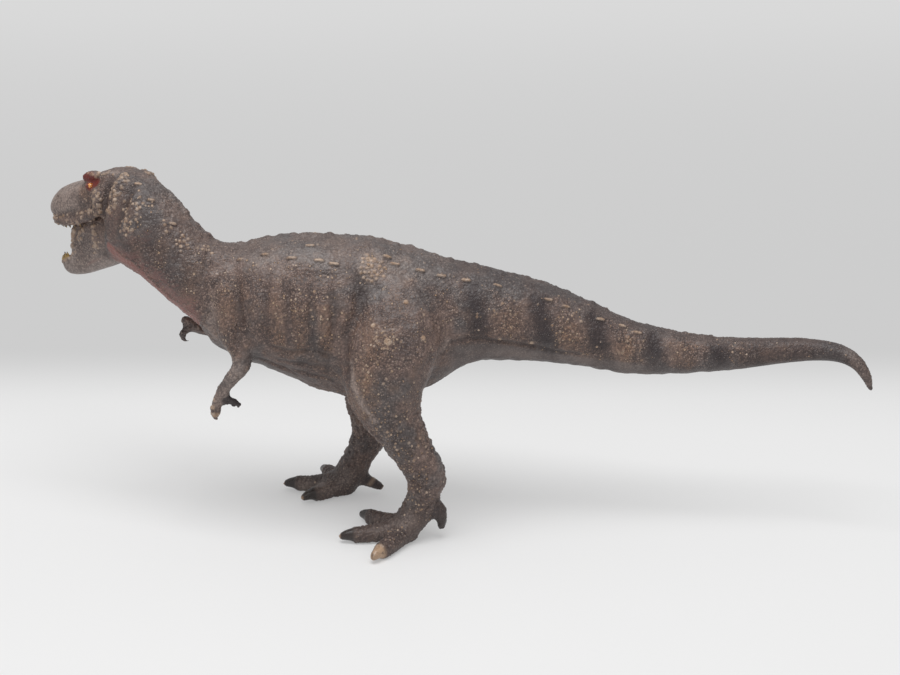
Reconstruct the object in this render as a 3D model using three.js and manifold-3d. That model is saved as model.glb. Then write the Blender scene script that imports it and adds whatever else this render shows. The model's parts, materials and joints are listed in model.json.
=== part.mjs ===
// Toy dinosaur figure: a large two-legged hunter in a walking stance, in moulded pieces that are glued
// at their skin folds, with a lower jaw that turns on a cross pin.
// Millimetres, +Z up, +X towards the tail tip, the figure's left side towards -Y.

import * as THREE from 'three';
import { mergeVertices } from 'three/addons/utils/BufferGeometryUtils.js';
import Module from 'manifold-3d';

const wasm = await Module();
wasm.setup();

// Clearances and overruns
const SEAM_GAP = 0.3;
const HIP_GAP = 0.5;
const PIN_CLEARANCE = 0.25;
const JAW_CLEARANCE = 0.45;

// Trunk
const HIP_HEIGHT = 74.5;
const TORSO_LENGTH = 84;
const CHEST_REACH = 65;
const TORSO_DEPTH = 58;
const TORSO_WIDTH = 47;
const RIB_HEIGHT = 1;

// Neck, from its seam with the torso to the back of the skull
const NECK_REACH = 26.5;
const NECK_RISE = 29;
const NECK_SWING = 8;
const NECK_BASE_DEPTH = 39;
const NECK_BASE_WIDTH = 31;
const NECK_DEPTH = 30;
const NECK_WIDTH = 26;

// Tail, from its seam with the torso to its tip
const TAIL_LENGTH = 144.5;
const TAIL_ROOT_DEPTH = 38.6;
const TAIL_ROOT_WIDTH = 34;
const TAIL_DROP = 14;
const TAIL_SWAY = 15;
const TAIL_HOOK = 11;
const TAIL_FOLD_DEPTH = 0.9;

// Pegs of the glued seams
const TRUNK_PEG_LENGTH = 8;
const TRUNK_PEG_WIDTH = 11;
const TRUNK_PEG_DEPTH = 15;

// Jaw hinge, from the middle of the neck's seam
const HINGE_REACH = 29.5;
const HINGE_RISE = 24;
const HINGE_SWING = 9.7;

// Skull and upper jaw
const SKULL_SETBACK = 4.5;
const SKULL_LIFT = 4;
const SKULL_LENGTH = 42;
const SKULL_HEIGHT = 17;
const SKULL_WIDTH = 23;
const HEAD_YAW_ANGLE = 30;
const HEAD_PITCH_ANGLE = 13;
const BROW_LENGTH = 9;
const BROW_THICKNESS = 4;
const EYE_DIAMETER = 2.8;
const LIP_THICKNESS = 3;
const UPPER_TOOTH_LENGTH = 0.9;
const UPPER_TOOTH_WIDTH = 1.7;
const UPPER_TEETH_PER_SIDE = 8;

// Lower jaw, measured from the hinge
const JAW_LENGTH = 39.5;
const JAW_DEPTH = 13.2;
const JAW_WIDTH = 16.8;
const JAW_WALL = 1.7;
const JAW_GAPE_ANGLE = 14;
const JAW_FURTHER_ANGLE = 6;
const LOWER_TOOTH_LENGTH = 1.6;
const LOWER_TOOTH_WIDTH = 1.7;
const LOWER_TEETH_PER_SIDE = 6;
const TONGUE_LENGTH = 17;
const TONGUE_WIDTH = 5;
const TONGUE_THICKNESS = 2.2;

// Jaw hinge
const HINGE_PIN_DIAMETER = 2.2;
const HINGE_PIN_LENGTH = 16;
const KNUCKLE_DIAMETER = 7.4;
const KNUCKLE_WIDTH = 9;

// Legs
const STANCE_WIDTH = 44;
const HIP_SEAM_SPREAD = 26;
const THIGH_LENGTH = 33.5;
const THIGH_WIDTH = 24;
const THIGH_MUSCLE_HEIGHT = 0.9;
const SHIN_LENGTH = 20;
const SHIN_WIDTH = 14;
const HIP_PEG_LENGTH = 6;
const HIP_PEG_DEPTH = 12;
const HIP_PEG_HEIGHT = 18;
const HEEL_PAD_HEIGHT = 5;
const TOE_LENGTH = 25;
const TOE_THICKNESS = 9.2;
const REAR_TOE_REACH = 12;
const REAR_TOE_THICKNESS = 4.6;
const CLAW_LENGTH = 6.2;
const CLAW_THICKNESS = 4.8;

// Arms
const SHOULDER_SPREAD = 27;
const SHOULDER_DROP = 9;
const SHOULDER_SETBACK = 8;
const ARM_LENGTH = 26;
const ARM_THICKNESS = 7;
const FINGER_LENGTH = 10;
const FINGER_THICKNESS = 3.5;
const ARM_PEG_LENGTH = 5;
const ARM_PEG_WIDTH = 5;
const ARM_PEG_HEIGHT = 7;

// How square the sections are: 2 is an ellipse
const TRUNK_SQUARENESS = 2.15;
const LEG_SQUARENESS = 2.1;
const HEAD_SQUARENESS = 2.6;
const TROUGH_SQUARENESS = 3;
const PEG_SQUARENESS = 3;
const ROOM_SQUARENESS = 8;

// Facets
const TRUNK_SIDES = 28;
const NECK_RINGS = 9;
const TAIL_RINGS = 25;
const SKULL_SIDES = 22;
const SKULL_RINGS = 14;
const JAW_SIDES = 18;
const JAW_RINGS = 12;
const LEG_SIDES = 18;
const LEG_RINGS = 17;
const TOE_SIDES = 9;
const TOE_RINGS = 8;
const ARM_SIDES = 10;
const ARM_RINGS = 13;
const FINGER_RINGS = 6;
const CLAW_SIDES = 6;
const CLAW_RINGS = 4;
const TOOTH_SIDES = 5;
const ROUND_SIDES = 16;

const FORWARD = new THREE.Vector3(-1, 0, 0);
const DOWN = new THREE.Vector3(0, 0, -1);
const UP = new THREE.Vector3(0, 0, 1);

const vec = (x, y, z) => new THREE.Vector3(x, y, z);

function toSolid(geometry) {
  const bare = geometry.clone();
  bare.deleteAttribute('normal');
  bare.deleteAttribute('uv');
  const merged = mergeVertices(bare);
  return new wasm.Manifold(new wasm.Mesh({
    numProp: 3,
    vertProperties: new Float32Array(merged.attributes.position.array),
    triVerts: new Uint32Array(merged.index.array),
  }));
}

function toGeometry(solid) {
  const mesh = solid.getMesh();
  const geometry = new THREE.BufferGeometry();
  geometry.setAttribute('position', new THREE.BufferAttribute(mesh.vertProperties, 3));
  geometry.setIndex(new THREE.BufferAttribute(mesh.triVerts, 1));
  geometry.computeVertexNormals();
  return geometry;
}

const joined = (solids) => solids.reduce((sum, solid) => sum.add(solid));
const cutBy = (solid, cutters) => cutters.reduce((rest, cutter) => rest.subtract(cutter), solid);

// Rounding leaves values just off zero where a ring closes
const ROUNDING_ERROR = 1e-9;

function signedPower(value, exponent) {
  return Math.abs(value) < ROUNDING_ERROR ? 0 : Math.sign(value) * Math.abs(value) ** exponent;
}

// A unit cylinder whose rings are laid along a path of centres and shaped to the sections there.
// A section is a vector of half width, height above its centre and depth below it. Stops place the
// rings unevenly, and relief gives how far the skin stands out at a point of a ring.
function loft({ centres, sections, sides, rings, stops = null, up = UP, flow = null, start = 0, end = 1,
  startShift = 0, endShift = 0, squareness = 2, topNarrowing = 0, grow = 0, relief = () => 0 }) {
  const path = new THREE.CatmullRomCurve3(centres);
  const spread = new THREE.CatmullRomCurve3(sections, false, 'catmullrom', 0.5);
  const geometry = new THREE.CylinderGeometry(1, 1, 1, sides, rings);
  const position = geometry.attributes.position;
  const bulge = 2 / squareness;
  for (let i = 0; i < position.count; i += 1) {
    const place = 0.5 - position.getY(i);
    const along = stops ? stops[Math.round(place * rings)] : place;
    const t = THREE.MathUtils.clamp(THREE.MathUtils.lerp(start, end, along), 0, 1);
    const centre = path.getPoint(t);
    const section = spread.getPoint(t);
    const travel = flow ? flow.clone() : path.getTangent(t);
    const upward = up.clone().addScaledVector(travel, -up.dot(travel)).normalize();
    const sideways = upward.clone().cross(travel).normalize();
    const shift = THREE.MathUtils.lerp(startShift, endShift, along);
    const across = signedPower(position.getX(i), bulge);
    const rise = signedPower(position.getZ(i), bulge);
    const outward = grow + relief(centre, across, rise);
    const halfWidth = (section.x + outward) * (1 - topNarrowing * rise);
    const halfHeight = rise > 0 ? section.y + outward : section.z + outward;
    const point = centre
      .addScaledVector(travel, shift)
      .addScaledVector(sideways, across * halfWidth)
      .addScaledVector(upward, rise * halfHeight);
    position.setXYZ(i, point.x, point.y, point.z);
  }
  return toSolid(geometry);
}

function ellipsoid(centre, radii, sides = ROUND_SIDES) {
  const geometry = new THREE.SphereGeometry(1, sides, sides / 2);
  geometry.scale(radii.x, radii.y, radii.z);
  geometry.translate(centre.x, centre.y, centre.z);
  return toSolid(geometry);
}

function box(low, high) {
  const size = high.clone().sub(low);
  const middle = low.clone().add(high).multiplyScalar(0.5);
  const geometry = new THREE.BoxGeometry(size.x, size.y, size.z);
  geometry.translate(middle.x, middle.y, middle.z);
  return toSolid(geometry);
}

// A straight oval peg from a point along a direction
function peg(from, direction, { length, width, height, up = UP, grow = 0 }) {
  const tip = from.clone().addScaledVector(direction, length + grow);
  const root = from.clone().addScaledVector(direction, -SEAM_GAP - grow);
  const half = vec(width / 2, height / 2, height / 2);
  return loft({
    centres: [root, tip], sections: [half, half], sides: ROUND_SIDES, rings: 1, up, flow: direction,
    squareness: PEG_SQUARENESS, grow,
  });
}

function roundBar(centre, radius, halfLength) {
  const geometry = new THREE.CylinderGeometry(radius, radius, halfLength * 2, ROUND_SIDES);
  geometry.translate(centre.x, centre.y, centre.z);
  return toSolid(geometry);
}

// Trunk: one curve from the skull to the tail tip, which the neck, torso and tail share.
// Each row: place along, rise, then half width, height above and depth below.

const neckShares = [
  // reach, swing, rise, width, above, below
  [1.3, 1.7, 0.86, 0.66, 0.6, 0.85],
  [1.12, 1.15, 0.87, 0.94, 1.02, 1.32],
  [0.92, 0.7, 0.74, 1.02, 1.01, 1.08],
  [0.57, 0.28, 0.42, 1.04, 0.92, 0.78],
  [0.22, 0.06, 0.12, 1.12, 1.1, 0.74],
];

const torsoShares = [
  // along, rise, width, above, below
  [0.06, 0.141, 0.76, 0.68, 0.64],
  [0.113, 0.13, 0.83, 0.73, 0.7],
  [0.24, 0.11, 0.957, 0.84, 0.785],
  [0.364, 0.085, 1, 0.92, 0.865],
  [0.49, 0.043, 0.98, 0.985, 0.94],
  [0.615, 0.009, 0.915, 1.02, 0.98],
  [0.742, 0, 0.85, 0.985, 0.94],
  [0.87, 0.02, 0.81, 0.87, 0.834],
];
const neckSeamRiseShare = 0.18;
const neckSeamBelowShare = 0.66;
const tailSeamRiseShare = 0.043;

const tailShares = [
  // along, rise, sway, width, depth
  [0.04, 0.2, 0, 0.95, 0.9],
  [0.107, 0.11, 0, 0.88, 0.82],
  [0.18, 0.01, 0, 0.79, 0.765],
  [0.254, -0.19, 0, 0.71, 0.68],
  [0.328, -0.4, 0, 0.62, 0.585],
  [0.4, -0.64, 0.05, 0.56, 0.515],
  [0.476, -0.76, 0.12, 0.48, 0.46],
  [0.55, -0.81, 0.2, 0.42, 0.39],
  [0.62, -0.81, 0.25, 0.376, 0.33],
  [0.694, -0.79, 0.27, 0.335, 0.295],
  [0.767, -0.74, 0.28, 0.295, 0.255],
  [0.838, -0.67, 0.33, 0.26, 0.228],
  [0.909, -0.67, 0.47, 0.218, 0.181],
  [0.943, -0.73, 0.6, 0.19, 0.16],
];
const tailTipShares = [
  // along, hook, sway, width, depth
  [0.974, 0.25, 0.8, 0.153, 0.124],
  [0.992, 0.66, 0.95, 0.106, 0.088],
  [1, 1, 1, 0.035, 0.035],
];

const neckSeamX = -CHEST_REACH;
const tailSeamX = neckSeamX + TORSO_LENGTH;
const neckSeamHeight = HIP_HEIGHT + neckSeamRiseShare * TORSO_DEPTH;
const tailSeamHeight = HIP_HEIGHT + tailSeamRiseShare * TORSO_DEPTH;

function trunkStations() {
  const stations = [];
  for (const [reach, swing, rise, width, above, below] of neckShares) {
    stations.push({
      centre: vec(neckSeamX - reach * NECK_REACH, swing * NECK_SWING, neckSeamHeight + rise * NECK_RISE),
      section: vec(width * NECK_WIDTH, above * NECK_DEPTH, below * NECK_DEPTH).multiplyScalar(0.5),
    });
  }
  stations.push({
    centre: vec(neckSeamX, 0, neckSeamHeight),
    section: vec(NECK_BASE_WIDTH, NECK_BASE_DEPTH, neckSeamBelowShare * NECK_BASE_DEPTH)
      .multiplyScalar(0.5),
    seam: 'neck',
  });
  for (const [along, rise, width, above, below] of torsoShares) {
    stations.push({
      centre: vec(neckSeamX + along * TORSO_LENGTH, 0, HIP_HEIGHT + rise * TORSO_DEPTH),
      section: vec(width * TORSO_WIDTH, above * TORSO_DEPTH, below * TORSO_DEPTH).multiplyScalar(0.5),
    });
  }
  stations.push({
    centre: vec(tailSeamX, 0, tailSeamHeight),
    section: vec(TAIL_ROOT_WIDTH, TAIL_ROOT_DEPTH, TAIL_ROOT_DEPTH).multiplyScalar(0.5),
    seam: 'tail',
  });
  for (const [along, rise, sway, width, depth] of tailShares) {
    stations.push({
      centre: vec(tailSeamX + along * TAIL_LENGTH, -sway * TAIL_SWAY, HIP_HEIGHT + rise * TAIL_DROP),
      section: vec(width * TAIL_ROOT_WIDTH, depth * TAIL_ROOT_DEPTH, depth * TAIL_ROOT_DEPTH)
        .multiplyScalar(0.5),
    });
  }
  const hookTop = stations[stations.length - 1].centre.z;
  for (const [along, hook, sway, width, depth] of tailTipShares) {
    stations.push({
      centre: vec(tailSeamX + along * TAIL_LENGTH, -sway * TAIL_SWAY, hookTop - hook * TAIL_HOOK),
      section: vec(width * TAIL_ROOT_WIDTH, depth * TAIL_ROOT_DEPTH, depth * TAIL_ROOT_DEPTH)
        .multiplyScalar(0.5),
    });
  }
  return stations;
}

// Ribs and the folds before and behind them: place along the torso, height in shares of a rib's
const ribShares = [
  [0.05, 0],
  [0.107, -1],
  [0.147, 0.1],
  [0.187, 0.8],
  [0.232, -0.45],
  [0.277, 0.9],
  [0.322, -0.45],
  [0.367, 0.9],
  [0.412, -0.45],
  [0.457, 0.9],
  [0.502, -0.45],
  [0.547, 0.7],
  [0.6, -1],
  [0.67, 0],
];
const ribSpanShares = { floor: -0.65, low: -0.3, high: 0.45, top: 0.8 };
const hipStopShares = [0.74, 0.81, 0.87, 0.935, 1];

// The fold under the tail's muscle: place along the tail, depth as a share of the fold's
const tailFoldShares = [
  [-0.06, 0],
  [0.03, 0.9],
  [0.2, 1],
  [0.3, 0.6],
  [0.42, 0],
];
const tailFoldRiseShare = -0.43;
const tailFoldSpreadShare = 0.2;

function between(rows, place) {
  const next = rows.findIndex(([at]) => at > place);
  if (next <= 0) return 0;
  const [low, from] = rows[next - 1];
  const [high, to] = rows[next];
  return THREE.MathUtils.lerp(from, to, (place - low) / (high - low));
}

function trunkRelief(centre, across, rise) {
  const { floor, low, high, top } = ribSpanShares;
  const flank = THREE.MathUtils.smoothstep(rise, floor, low)
    * (1 - THREE.MathUtils.smoothstep(rise, high, top));
  const ribs = between(ribShares, (centre.x - neckSeamX) / TORSO_LENGTH) * flank;
  const below = Math.exp(-(((rise - tailFoldRiseShare) / tailFoldSpreadShare) ** 2));
  const fold = between(tailFoldShares, (centre.x - tailSeamX) / TAIL_LENGTH) * below;
  return ribs * RIB_HEIGHT - fold * TAIL_FOLD_DEPTH;
}

const trunkNarrowingShare = 0.08;
const trunk = trunkStations();
const trunkSkin = {
  centres: trunk.map((station) => station.centre),
  sections: trunk.map((station) => station.section),
  sides: TRUNK_SIDES,
  squareness: TRUNK_SQUARENESS,
  topNarrowing: trunkNarrowingShare,
  relief: trunkRelief,
};
const trunkCurve = new THREE.CatmullRomCurve3(trunkSkin.centres);
const seamAt = (name) => trunk.findIndex((station) => station.seam === name) / (trunk.length - 1);
const neckSeam = seamAt('neck');
const tailSeam = seamAt('tail');

const halvings = 24;

// Where along the torso's stretch of the trunk curve a share of its length lies
function torsoStop(share) {
  const x = neckSeamX + share * TORSO_LENGTH;
  let low = 0;
  let high = 1;
  for (let i = 0; i < halvings; i += 1) {
    const middle = (low + high) / 2;
    const before = trunkCurve.getPoint(THREE.MathUtils.lerp(neckSeam, tailSeam, middle)).x < x;
    if (before) low = middle;
    else high = middle;
  }
  return high;
}

function trunkPeg(seam, towardsTorso, grow) {
  const from = trunkCurve.getPoint(seam);
  const direction = trunkCurve.getTangent(seam).multiplyScalar(towardsTorso);
  return peg(from, direction, {
    length: TRUNK_PEG_LENGTH, width: TRUNK_PEG_WIDTH, height: TRUNK_PEG_DEPTH, grow,
  });
}

// Skull: built with the jaw hinge at the origin, nose towards +X, left side towards +Y.

const skullShares = [
  // along, top, bottom (shares of the skull's height), width
  [-0.22, 0.3, -0.15, 0.4],
  [-0.1, 0.6, -0.4, 0.8],
  [0.04, 0.78, -0.56, 0.98],
  [0.16, 0.86, -0.4, 1],
  [0.3, 0.85, -0.12, 0.93],
  [0.46, 0.76, -0.08, 0.87],
  [0.62, 0.74, -0.06, 0.79],
  [0.78, 0.69, -0.02, 0.67],
  [0.9, 0.53, 0.08, 0.52],
  [0.955, 0.37, 0.18, 0.32],
];
const skullNarrowingShare = 0.14;
const browPlaceShare = { along: 0.315, across: 0.6, high: 0.755, lean: 0.04 };
const eyePlaceShare = { along: 0.33, across: 0.79, high: 0.6 };
const lipShares = [
  // along, across, high
  [0.22, 0.94, 0.09],
  [0.36, 0.9, 0],
  [0.5, 0.82, -0.03],
  [0.66, 0.72, -0.04],
  [0.78, 0.61, -0.015],
  [0.86, 0.46, 0.05],
  [0.905, 0.18, 0.11],
];

const skullPoint = (along, across, high) => vec(
  along * SKULL_LENGTH - SKULL_SETBACK, across * SKULL_WIDTH / 2, high * SKULL_HEIGHT + SKULL_LIFT,
);

function skullLoft() {
  const rows = skullShares.map(([along, top, bottom, width]) => ({
    centre: skullPoint(along, 0, (top + bottom) / 2),
    section: vec(width * SKULL_WIDTH, (top - bottom) * SKULL_HEIGHT, (top - bottom) * SKULL_HEIGHT)
      .multiplyScalar(0.5),
  }));
  return loft({
    centres: rows.map((row) => row.centre),
    sections: rows.map((row) => row.section),
    sides: SKULL_SIDES, rings: SKULL_RINGS, flow: vec(1, 0, 0),
    squareness: HEAD_SQUARENESS, topNarrowing: skullNarrowingShare,
  });
}

function lipPath(side) {
  return new THREE.CatmullRomCurve3(
    lipShares.map(([along, across, high]) => skullPoint(along, side * across, high)),
  );
}

function lipBead(side) {
  const path = lipPath(side);
  const half = LIP_THICKNESS / 2;
  return loft({
    centres: path.points, sections: path.points.map(() => vec(half, half, half)),
    sides: CLAW_SIDES, rings: SKULL_RINGS,
  });
}

function tooth(root, length, width, pointing) {
  const geometry = new THREE.ConeGeometry(width / 2, length, TOOTH_SIDES);
  const turn = new THREE.Quaternion().setFromUnitVectors(vec(0, 1, 0), pointing.clone().normalize());
  geometry.translate(0, length / 2, 0);
  geometry.applyQuaternion(turn);
  geometry.translate(root.x, root.y, root.z);
  return toSolid(geometry);
}

const upperTeethSpanShare = { first: 0.36, last: 0.97 };
const upperTeethInsetShare = 0.06;
const upperTeethLeanShare = 0.12;
// The teeth are longest in the middle of the row
const toothSwellShare = { start: 0.15, span: 0.7 };

function upperTeeth(side) {
  const path = lipPath(side);
  const teeth = [];
  for (let i = 0; i < UPPER_TEETH_PER_SIDE; i += 1) {
    const along = THREE.MathUtils.lerp(
      upperTeethSpanShare.first, upperTeethSpanShare.last, i / (UPPER_TEETH_PER_SIDE - 1),
    );
    const root = path.getPoint(along);
    root.y -= side * upperTeethInsetShare * LIP_THICKNESS;
    const full = Math.sin(Math.PI * (toothSwellShare.start + toothSwellShare.span * along));
    const length = LIP_THICKNESS / 2 + UPPER_TOOTH_LENGTH * full;
    teeth.push(tooth(root, length, UPPER_TOOTH_WIDTH, vec(-upperTeethLeanShare, 0, -1)));
  }
  return joined(teeth);
}

function browAndEye(side) {
  const brow = ellipsoid(
    skullPoint(
      browPlaceShare.along, side * browPlaceShare.across, browPlaceShare.high + side * browPlaceShare.lean,
    ),
    vec(BROW_LENGTH, BROW_THICKNESS, BROW_THICKNESS).multiplyScalar(0.5),
    CLAW_SIDES * 2,
  );
  const eye = ellipsoid(
    skullPoint(eyePlaceShare.along, side * eyePlaceShare.across, eyePlaceShare.high),
    vec(EYE_DIAMETER, EYE_DIAMETER, EYE_DIAMETER).multiplyScalar(0.5),
    CLAW_SIDES * 2,
  );
  return brow.add(eye);
}

// Lower jaw: in the same frame as the skull, as it lies with the mouth closed.

const jawShares = [
  // along, top, bottom (shares of the jaw's depth), width
  [0.08, 0.24, -0.86, 0.96],
  [0.2, 0.7, -0.9, 1],
  [0.32, 0.9, -0.9, 0.99],
  [0.44, 0.98, -0.88, 0.94],
  [0.55, 0.9, -0.84, 0.88],
  [0.65, 0.7, -0.8, 0.82],
  [0.73, 0.26, -0.77, 0.77],
  [0.79, -0.03, -0.74, 0.72],
  [0.88, -0.05, -0.66, 0.61],
  [0.95, -0.06, -0.58, 0.49],
  [0.99, -0.1, -0.44, 0.36],
];

function jawShell(grow) {
  const rows = jawShares.map(([along, top, bottom, width]) => ({
    centre: vec(along * JAW_LENGTH, 0, (top + bottom) / 2 * JAW_DEPTH),
    section: vec(width * JAW_WIDTH, (top - bottom) * JAW_DEPTH, (top - bottom) * JAW_DEPTH)
      .multiplyScalar(0.5),
  }));
  return loft({
    centres: rows.map((row) => row.centre),
    sections: rows.map((row) => row.section),
    sides: JAW_SIDES, rings: JAW_RINGS, flow: vec(1, 0, 0), startShift: -grow, endShift: grow,
    squareness: HEAD_SQUARENESS, grow,
  });
}

const mouthFloorShare = 0.2;
const mouthTopShare = 1.5;
const mouthRearShare = 0.24;
const chinWallShare = 1.6;

// The trough between the jaw's walls, open at the top
function jawTrough() {
  const rows = jawShares.map(([along, top, bottom, width]) => {
    const floor = Math.max(Math.min(top, 0) - mouthFloorShare, bottom + mouthFloorShare) * JAW_DEPTH;
    const halfHeight = (mouthTopShare * JAW_DEPTH - floor) / 2;
    return {
      centre: vec(along * JAW_LENGTH, 0, floor + halfHeight),
      section: vec(width * JAW_WIDTH / 2 - JAW_WALL, halfHeight, halfHeight),
    };
  });
  const trough = loft({
    centres: rows.map((row) => row.centre),
    sections: rows.map((row) => row.section),
    sides: JAW_SIDES, rings: JAW_RINGS, flow: vec(1, 0, 0), squareness: TROUGH_SQUARENESS,
  });
  const keep = box(
    vec(mouthRearShare * JAW_LENGTH, -JAW_WIDTH, -JAW_DEPTH),
    vec(JAW_LENGTH - chinWallShare * JAW_WALL, JAW_WIDTH, mouthTopShare * JAW_DEPTH),
  );
  return trough.intersect(keep);
}

const lowerTeethSpanShare = { first: 0.76, last: 0.95 };
const lowerTeethInsetShare = { across: 0.62, deep: 0.5 };
const lowerTeethLeanShare = 0.1;

function lowerTeeth(side) {
  const rim = new THREE.CatmullRomCurve3(jawShares.map(([along, top, , width]) => vec(
    along * JAW_LENGTH,
    side * (width * JAW_WIDTH / 2 - lowerTeethInsetShare.across * JAW_WALL),
    top * JAW_DEPTH - lowerTeethInsetShare.deep * JAW_WALL,
  )));
  const teeth = [];
  for (let i = 0; i < LOWER_TEETH_PER_SIDE; i += 1) {
    const along = THREE.MathUtils.lerp(
      lowerTeethSpanShare.first, lowerTeethSpanShare.last, i / (LOWER_TEETH_PER_SIDE - 1),
    );
    const length = lowerTeethInsetShare.deep * JAW_WALL + LOWER_TOOTH_LENGTH;
    teeth.push(tooth(rim.getPoint(along), length, LOWER_TOOTH_WIDTH, vec(-lowerTeethLeanShare, 0, 1)));
  }
  return joined(teeth);
}

const tongueDepthShare = 0.42;

function tongue() {
  return ellipsoid(
    vec(mouthRearShare * JAW_LENGTH + TONGUE_LENGTH / 2, 0, -tongueDepthShare * JAW_DEPTH),
    vec(TONGUE_LENGTH, TONGUE_WIDTH, TONGUE_THICKNESS).multiplyScalar(0.5),
    CLAW_SIDES * 2,
  );
}

// The knuckle on the pin and the web that joins it to the jaw
function jawKnuckle(grow) {
  const radius = KNUCKLE_DIAMETER / 2 + grow;
  const half = KNUCKLE_WIDTH / 2 + grow;
  const barrel = roundBar(vec(0, 0, 0), radius, half);
  const web = box(
    vec(0, -half, -radius),
    vec(mouthRearShare * JAW_LENGTH, half, KNUCKLE_DIAMETER / 4 + grow),
  );
  return barrel.add(web);
}

const turned = (solid, degrees) => solid.rotate([0, degrees, 0]);

function lowerJaw() {
  const body = jawShell(0).add(jawKnuckle(0));
  const hollow = body.subtract(jawTrough());
  const dressed = joined([hollow, tongue(), lowerTeeth(1), lowerTeeth(-1)]);
  const bore = roundBar(vec(0, 0, 0), HINGE_PIN_DIAMETER / 2 + PIN_CLEARANCE, JAW_WIDTH);
  return dressed.subtract(bore);
}

const palateShares = [
  // along, half width, half height above and below
  [0.3, 0.42, 0.3, 0.5],
  [0.6, 0.34, 0.26, 0.5],
  [0.88, 0.24, 0.2, 0.4],
];
const knuckleTurnShares = [0, 0.35, 0.7, 1];

// The room for the closed jaw and its teeth, open downwards
function closedRoom() {
  const rows = jawShares.map(([along, top, bottom, width]) => {
    const high = top > 0 ? top * JAW_DEPTH : top * JAW_DEPTH + LOWER_TOOTH_LENGTH;
    const halfHeight = (high - bottom * JAW_DEPTH + JAW_DEPTH) / 2;
    return {
      centre: vec(along * JAW_LENGTH, 0, high - halfHeight),
      section: vec(width * JAW_WIDTH / 2, halfHeight, halfHeight),
    };
  });
  return loft({
    centres: rows.map((row) => row.centre),
    sections: rows.map((row) => row.section),
    sides: JAW_SIDES, rings: JAW_RINGS, flow: vec(1, 0, 0),
    startShift: -JAW_CLEARANCE, endShift: JAW_CLEARANCE,
    squareness: ROOM_SQUARENESS, grow: JAW_CLEARANCE,
  });
}

function palate() {
  return loft({
    centres: palateShares.map(([along]) => vec(along * JAW_LENGTH, 0, 0)),
    sections: palateShares.map(([, width, above, below]) => vec(
      width * JAW_WIDTH, above * JAW_DEPTH, below * JAW_DEPTH,
    )),
    sides: JAW_SIDES, rings: palateShares.length * 2, flow: vec(1, 0, 0), squareness: TROUGH_SQUARENESS,
  });
}

// All that the jaw sweeps inside the head, from closed to wide open
function mouthCut() {
  const widest = JAW_GAPE_ANGLE + JAW_FURTHER_ANGLE;
  const grown = jawShell(JAW_CLEARANCE);
  const knuckle = jawKnuckle(JAW_CLEARANCE);
  const opened = [JAW_GAPE_ANGLE, widest].map((angle) => turned(grown, angle));
  const knuckles = knuckleTurnShares.map((share) => turned(knuckle, share * widest));
  return joined([closedRoom(), palate(), ...opened, ...knuckles]);
}

function headMatrix() {
  const hinge = vec(neckSeamX - HINGE_REACH, HINGE_SWING, neckSeamHeight + HINGE_RISE);
  const turn = new THREE.Euler(
    0, THREE.MathUtils.degToRad(HEAD_PITCH_ANGLE), THREE.MathUtils.degToRad(180 - HEAD_YAW_ANGLE), 'ZYX',
  );
  return new THREE.Matrix4().compose(hinge, new THREE.Quaternion().setFromEuler(turn), vec(1, 1, 1));
}

const placed = (solid, matrix) => solid.transform(matrix.elements);

function neckAndHead() {
  const neck = loft({
    ...trunkSkin, rings: NECK_RINGS, start: 0, end: neckSeam, endShift: -SEAM_GAP / 2,
  });
  const skull = joined([skullLoft(), lipBead(1), lipBead(-1), browAndEye(1), browAndEye(-1)]);
  const teeth = upperTeeth(1).add(upperTeeth(-1));
  const pinHole = roundBar(
    vec(0, 0, 0), HINGE_PIN_DIAMETER / 2 + PIN_CLEARANCE, HINGE_PIN_LENGTH / 2 + SEAM_GAP,
  );
  const matrix = headMatrix();
  const blended = neck.add(placed(skull, matrix));
  const opened = blended.subtract(placed(mouthCut().add(pinHole), matrix));
  return joined([opened, placed(teeth, matrix), trunkPeg(neckSeam, 1, 0)]);
}

// Legs: columns of level sections from the hip to the ball of the foot, then toes and claws.

const legPoses = {
  left: {
    // z, x (shares of the hip height), spread (share of half the stance), fore-aft and side half widths
    columnShares: [
      [1.26, -0.02, 0.6, 0.2, 0.2],
      [1.2, -0.025, 0.64, 0.56, 0.5],
      [1.1, -0.03, 0.74, 0.86, 0.84],
      [0.96, -0.04, 0.9, 1, 1],
      [0.8, -0.07, 1, 0.9, 0.98],
      [0.69, -0.08, 1.05, 0.73, 0.86],
    ],
    shinShares: [
      [0.59, -0.035, 1.06, 1.04, 1.3],
      [0.47, 0.035, 1.05, 0.88, 1.1],
      [0.36, 0.105, 1.04, 0.79, 0.93],
      [0.29, 0.12, 1.03, 0.66, 0.83],
      [0.23, 0.1, 1.02, 0.58, 0.76],
      [0.17, 0.075, 1, 0.6, 0.8],
      [0.11, 0.05, 1, 0.64, 0.9],
      [0.06, 0.03, 1, 0.56, 0.8],
    ],
    // outward turn in degrees and share of the toe length: middle, outer and inner toe
    toeTurnShares: [[7.5, 0.98], [60, 0.95], [-43, 1]],
    // behind the ball of the foot, height
    rearToeShares: [[0.55, 1.15], [0.85, 1.08], [0.97, 0.74], [0.95, 0.3]],
  },
};
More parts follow.
